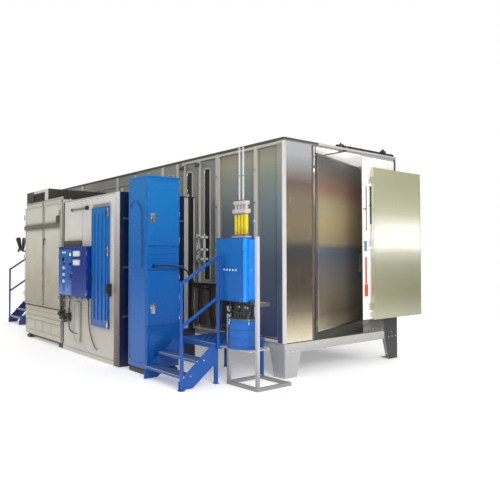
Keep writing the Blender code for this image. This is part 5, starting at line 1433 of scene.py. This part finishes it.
def detail_access():
    """Raised tread pattern, nosings and bolts of both platforms, and the handrail's collars."""
    for label, inset, front, stair, finish in (("near", 0.0, -0.87, None, "stair_blue"),
                                               ("entry", 0.04, -0.44, 0.42, "navy_blue")):
        low, high = span(f"{label}_platform")
        a, b = low.x + inset, high.x
        stair = front - low.y if stair is None else stair
        pattern, edges, bolts = Shape(), Shape(), Shape()
        for i in range(int((b - a - 0.05) / TREAD_PITCH)):
            for j in range(int((high.y - front - 0.05) / TREAD_PITCH)):
                add_lozenge(pattern, a + 0.045 + i * TREAD_PITCH, front + 0.045 + j * TREAD_PITCH,
                            1 if (i + j) % 2 else -1)
        pattern.place(f"{label}_deck_pattern", finish)
        for step in (1, 2):
            z = step * DECK / 3
            y = low.y + 0.02 + (step - 1) * stair * 0.36
            edges.box((a + 0.010, y - 0.001, z - 0.001), (b - 0.010, y + 0.026, z + 0.005), 0.002)
            for k in range(4):
                groove = y + 0.050 + k * 0.036
                edges.box((a + 0.020, groove, z), (b - 0.020, groove + 0.010, z + 0.004), 0.001)
            for x, side in ((low.x, -1), (b, 1)):
                bolts.bolts((x, y + 0.05, z - 0.015), (x, y + 0.15, z - 0.015), 2, (side, 0, 0), 0.007)
        edges.box((a + 0.004, front, DECK), (b - 0.004, front + 0.030, DECK + 0.005), 0.002)
        edges.place(f"{label}_step_nosings", "olive_trim")
        for x in (a + 0.023, b - 0.023):
            bolts.bolts((x, front + 0.02, DECK), (x, high.y - 0.02, DECK), 2, UP, 0.006)
        bolts.place(f"{label}_platform_bolts", "bright_metal")
    low, high = span("near_handrail")
    x, y = (low.x + high.x) / 2, low.y + 0.021
    caps = Shape()
    caps.rod((x, y, 0.0), (x, y, 0.012), 0.045, 20, edge=0.003)
    for z in (1.255, 0.735):
        caps.upright(x, y, z, 0.022, 0.0235, 16, edge=0.004)
    caps.place("handrail_collars", "stair_blue")


# ---------------------------------------------------------------- powder stand details
def detail_stand():
    """Pump box front with its indicators, side sheet in a lighter blue as painted light, and fixings; arm
    sleeve, feet and hose clips.
    """
    low, high = span("pump_box")
    front, skin = low.y, low.y - 0.0005
    panel, leds, rims, feet, clips = (Shape() for _ in range(5))
    panel.frame_strip((low.x + 0.012, front - 0.004, low.z + 0.012), (high.x - 0.012, skin, high.z - 0.012),
                      1, 0.012)
    panel.box((low.x - 0.006, front - 0.010, high.z), (high.x + 0.020, high.y + 0.004, high.z + 0.0004), 0.0)
    panel.box((low.x + 0.14, front - 0.003, 1.385), (low.x + 0.42, skin, 1.435), 0.001)
    panel.place("pump_box_front", "cabinet_blue")
    for i in range(5):
        x = low.x + 0.170 + i * 0.055
        leds.stud((x, front - 0.003, 1.41), FRONT, 0.009, 0.011, 16, edge=0.002)
        rims.ring((x, front - 0.006, 1.41), REAR, 0.0115, 0.015, 0.006)
    leds.place("pump_indicators", "led_white")
    for x in (low.x + 0.035, high.x - 0.035):
        rims.bolts((x, front, low.z + 0.035), (x, front, high.z - 0.035), 3, FRONT, 0.006)
    rims.place("pump_box_fixings", "bright_metal")
    plate("stand_arm_sleeve", "dark_steel", (0.2498, -0.6985, 0.9845), (0.2908, -0.5385, 1.0260), 0.001)
    # the side sheet's lighter blue is painted light
    plate("pump_box_side_sheet", "side_blue", (0.1004, -0.7895, 1.0320), (0.1024, -0.7265, 1.7980), 0.0005)
    detail_pump_door()
    detail_drum()
    detail_injectors(low.z)
    detail_manifold()
    post = span("stand_frame")
    post_face = post[1].x
    for x in (post[0].x + 0.02, post_face - 0.02):
        for y in (-0.72, -0.20):
            feet.rod((x, y, 0.040), (x, y, 0.050), 0.016, 6)
    feet.box((post_face - 0.0415, -0.7415, 1.8005), (post_face + 0.0005, -0.6985, 1.806), 0.002)
    feet.bolts((post_face - 0.001, -0.72, 0.30), (post_face - 0.001, -0.72, 1.66), 5, (1, 0, 0), 0.007)
    feet.place("stand_fittings", "light_paint")
    for z in (0.72, 1.17, 2.05):
        clips.rod((-0.512, -0.0405, z), (-0.512, -0.066, z), 0.017, 16, edge=0.003)
    clips.place("post_hose_clips", "white_plastic")


def detail_pump_door():
    """Lock, hinge pins and border of the pump box's narrow side door."""
    low, high = span("pump_box_door")
    y = low.y + 0.03
    pull, border = Shape(), Shape()
    pull.rod((high.x, y, 1.42), (high.x + 0.012, y, 1.42), 0.013, 20, edge=0.002)
    for z in (low.z + 0.07, high.z - 0.07):
        pull.upright(high.x + 0.002, high.y - 0.002, z, 0.03, 0.006, 12, edge=0.001)
    pull.place("pump_door_lock", "bright_metal", "pump_box_door")
    border.frame_strip((high.x - 0.0005, low.y + 0.003, low.z + 0.003),
                       (high.x + 0.0025, high.y - 0.008, high.z - 0.003), 0, 0.010)
    border.place("pump_door_border", "panel_blue", "pump_box_door")


def detail_drum():
    """Rolled bands round the powder drum and the clamps that hold its lid."""
    low, high = span("powder_drum")
    x, y = (low.x + high.x) / 2, (low.y + high.y) / 2
    radius = (high.x - low.x) / 2
    bands, clamps = Shape(), Shape()
    for z, width in ((low.z + 0.010, 0.020), (low.z + 0.12, 0.012), (low.z + 0.22, 0.012),
                     (high.z - 0.012, 0.022)):
        bands.ring((x, y, z), UP, radius + 0.0003, radius + 0.007, width, 40)
    bands.place("drum_bands", "cabinet_blue")
    for angle in (-100, -20, 60, 140):
        turn = math.radians(angle)
        out = Vector((math.cos(turn), math.sin(turn), 0.0))
        lid = Vector((x, y, high.z)) + out * (radius + 0.009)
        clamps.rod(lid + Vector((0, 0, -0.055)), lid + Vector((0, 0, 0.014)), 0.006, 10, edge=0.001)
        lid -= out * 0.004
        clamps.rod(lid + Vector((0, 0, -0.005)), lid + Vector((0, 0, 0.012)), 0.010, 10)
    clamps.place("drum_clamps", "bright_metal")


def detail_injectors(box_foot):
    """Caps, side fittings and formed hoses between the injectors and the foot of the pump box."""
    top = span("injector_block")[1].z
    y, side_port, middle = -0.72, top - 0.035, -0.01
    fittings, hoses = Shape(), Shape()
    for i in range(5):
        x = -0.12 + i * 0.055
        lean = 0.030 if i % 2 else -0.026
        fittings.rod((x, y, top), (x, y, top + 0.022), 0.014, 6)
        fittings.rod((x, y - 0.020, side_port), (x, y - 0.044, side_port), 0.009, 12)
        hoses.tube(((x, y, top + 0.020), (x - 0.004, y - 0.006, top + 0.045), (x + 0.004, y, box_foot)),
                   0.0095, 10)
        hoses.tube(((x, y - 0.044, side_port), (x + lean, y - 0.075, top - 0.020),
                    (x + lean * 1.5, y - 0.062, top + 0.040), (x + lean, y - 0.040, box_foot)), 0.0085, 10)
    for side, reach in ((-1, 0.36), (1, 0.20)):
        route = [(middle + side * out, y + dy, z) for out, dy, z in (
            (0.13, 0.0, top - 0.02), (reach * 0.6, -0.03, top - 0.075),
            (reach * 0.75, -0.01, top - 0.01), (0.11, 0.03, box_foot))]
        hoses.tube(route, 0.012, 10)
    fittings.place("injector_fittings", "bright_metal")
    hoses.place("injector_hoses", "rubber")


def detail_manifold():
    """Ribbed yellow hoses, the pale manifold above them and the two clear risers."""
    low, high = span("riser_manifold")
    x0, y = (low.x + high.x) / 2, (low.y + high.y) / 2
    ports = [x0 - 0.09 + i * 0.06 for i in range(4)]
    hoses, pale, risers, rings = Shape(), Shape(), Shape(), Shape()
    for half, depth, foot, head, edge in ((0.119, 0.047, 2.100, 2.150, 0.008),
                                          (0.112, 0.036, 2.205, 2.250, 0.008),
                                          (0.128, 0.050, low.z, low.z + 0.020, 0.004)):
        pale.box((x0 - half, y - depth, foot), (x0 + half, y + depth, head), edge)
    for x in ports:
        hoses.tube(((x, y, low.z + 0.018), (x, y, 2.105)), 0.0235, 16, rings=(0.016, 0.0035))
        pale.rod((x, y, 2.148), (x, y, 2.215), 0.024, 16, 0.020, edge=0.003)
        for z in (2.088, low.z + 0.036):
            rings.ring((x, y, z), UP, 0.0265, 0.031, 0.012)
    for x in (x0 - 0.035, x0 + 0.035):
        risers.tube(((x, y, 2.245), (x, y, high.z)), 0.0125, 14)
        for z in (2.262, 2.56, high.z - 0.02):
            rings.ring((x, y, z), UP, 0.0126, 0.017, 0.012)
    hoses.place("riser_hoses", "yellow_hose")
    manifold = pale.place("riser_manifold_block", "manifold_grey")
    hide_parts("riser_manifold")
    risers.place("riser_tubes", "clear_hose")
    rings.place("riser_clamps", "bright_metal")


MATERIALS = make_materials()
make_camera()
make_hose()
make_world()
make_lights()
make_floor()
finish_nodes()
for make_detail in (detail_roof, detail_ceiling, detail_walls, detail_ends, detail_base,
                    detail_gun_bay, detail_guns, detail_inner_door, detail_outer_door,
                    detail_filter_house, detail_filter_door, detail_clutter, detail_control_box,
                    detail_module, detail_module_doors, detail_cabinet, detail_access,
                    detail_stand):
    make_detail()
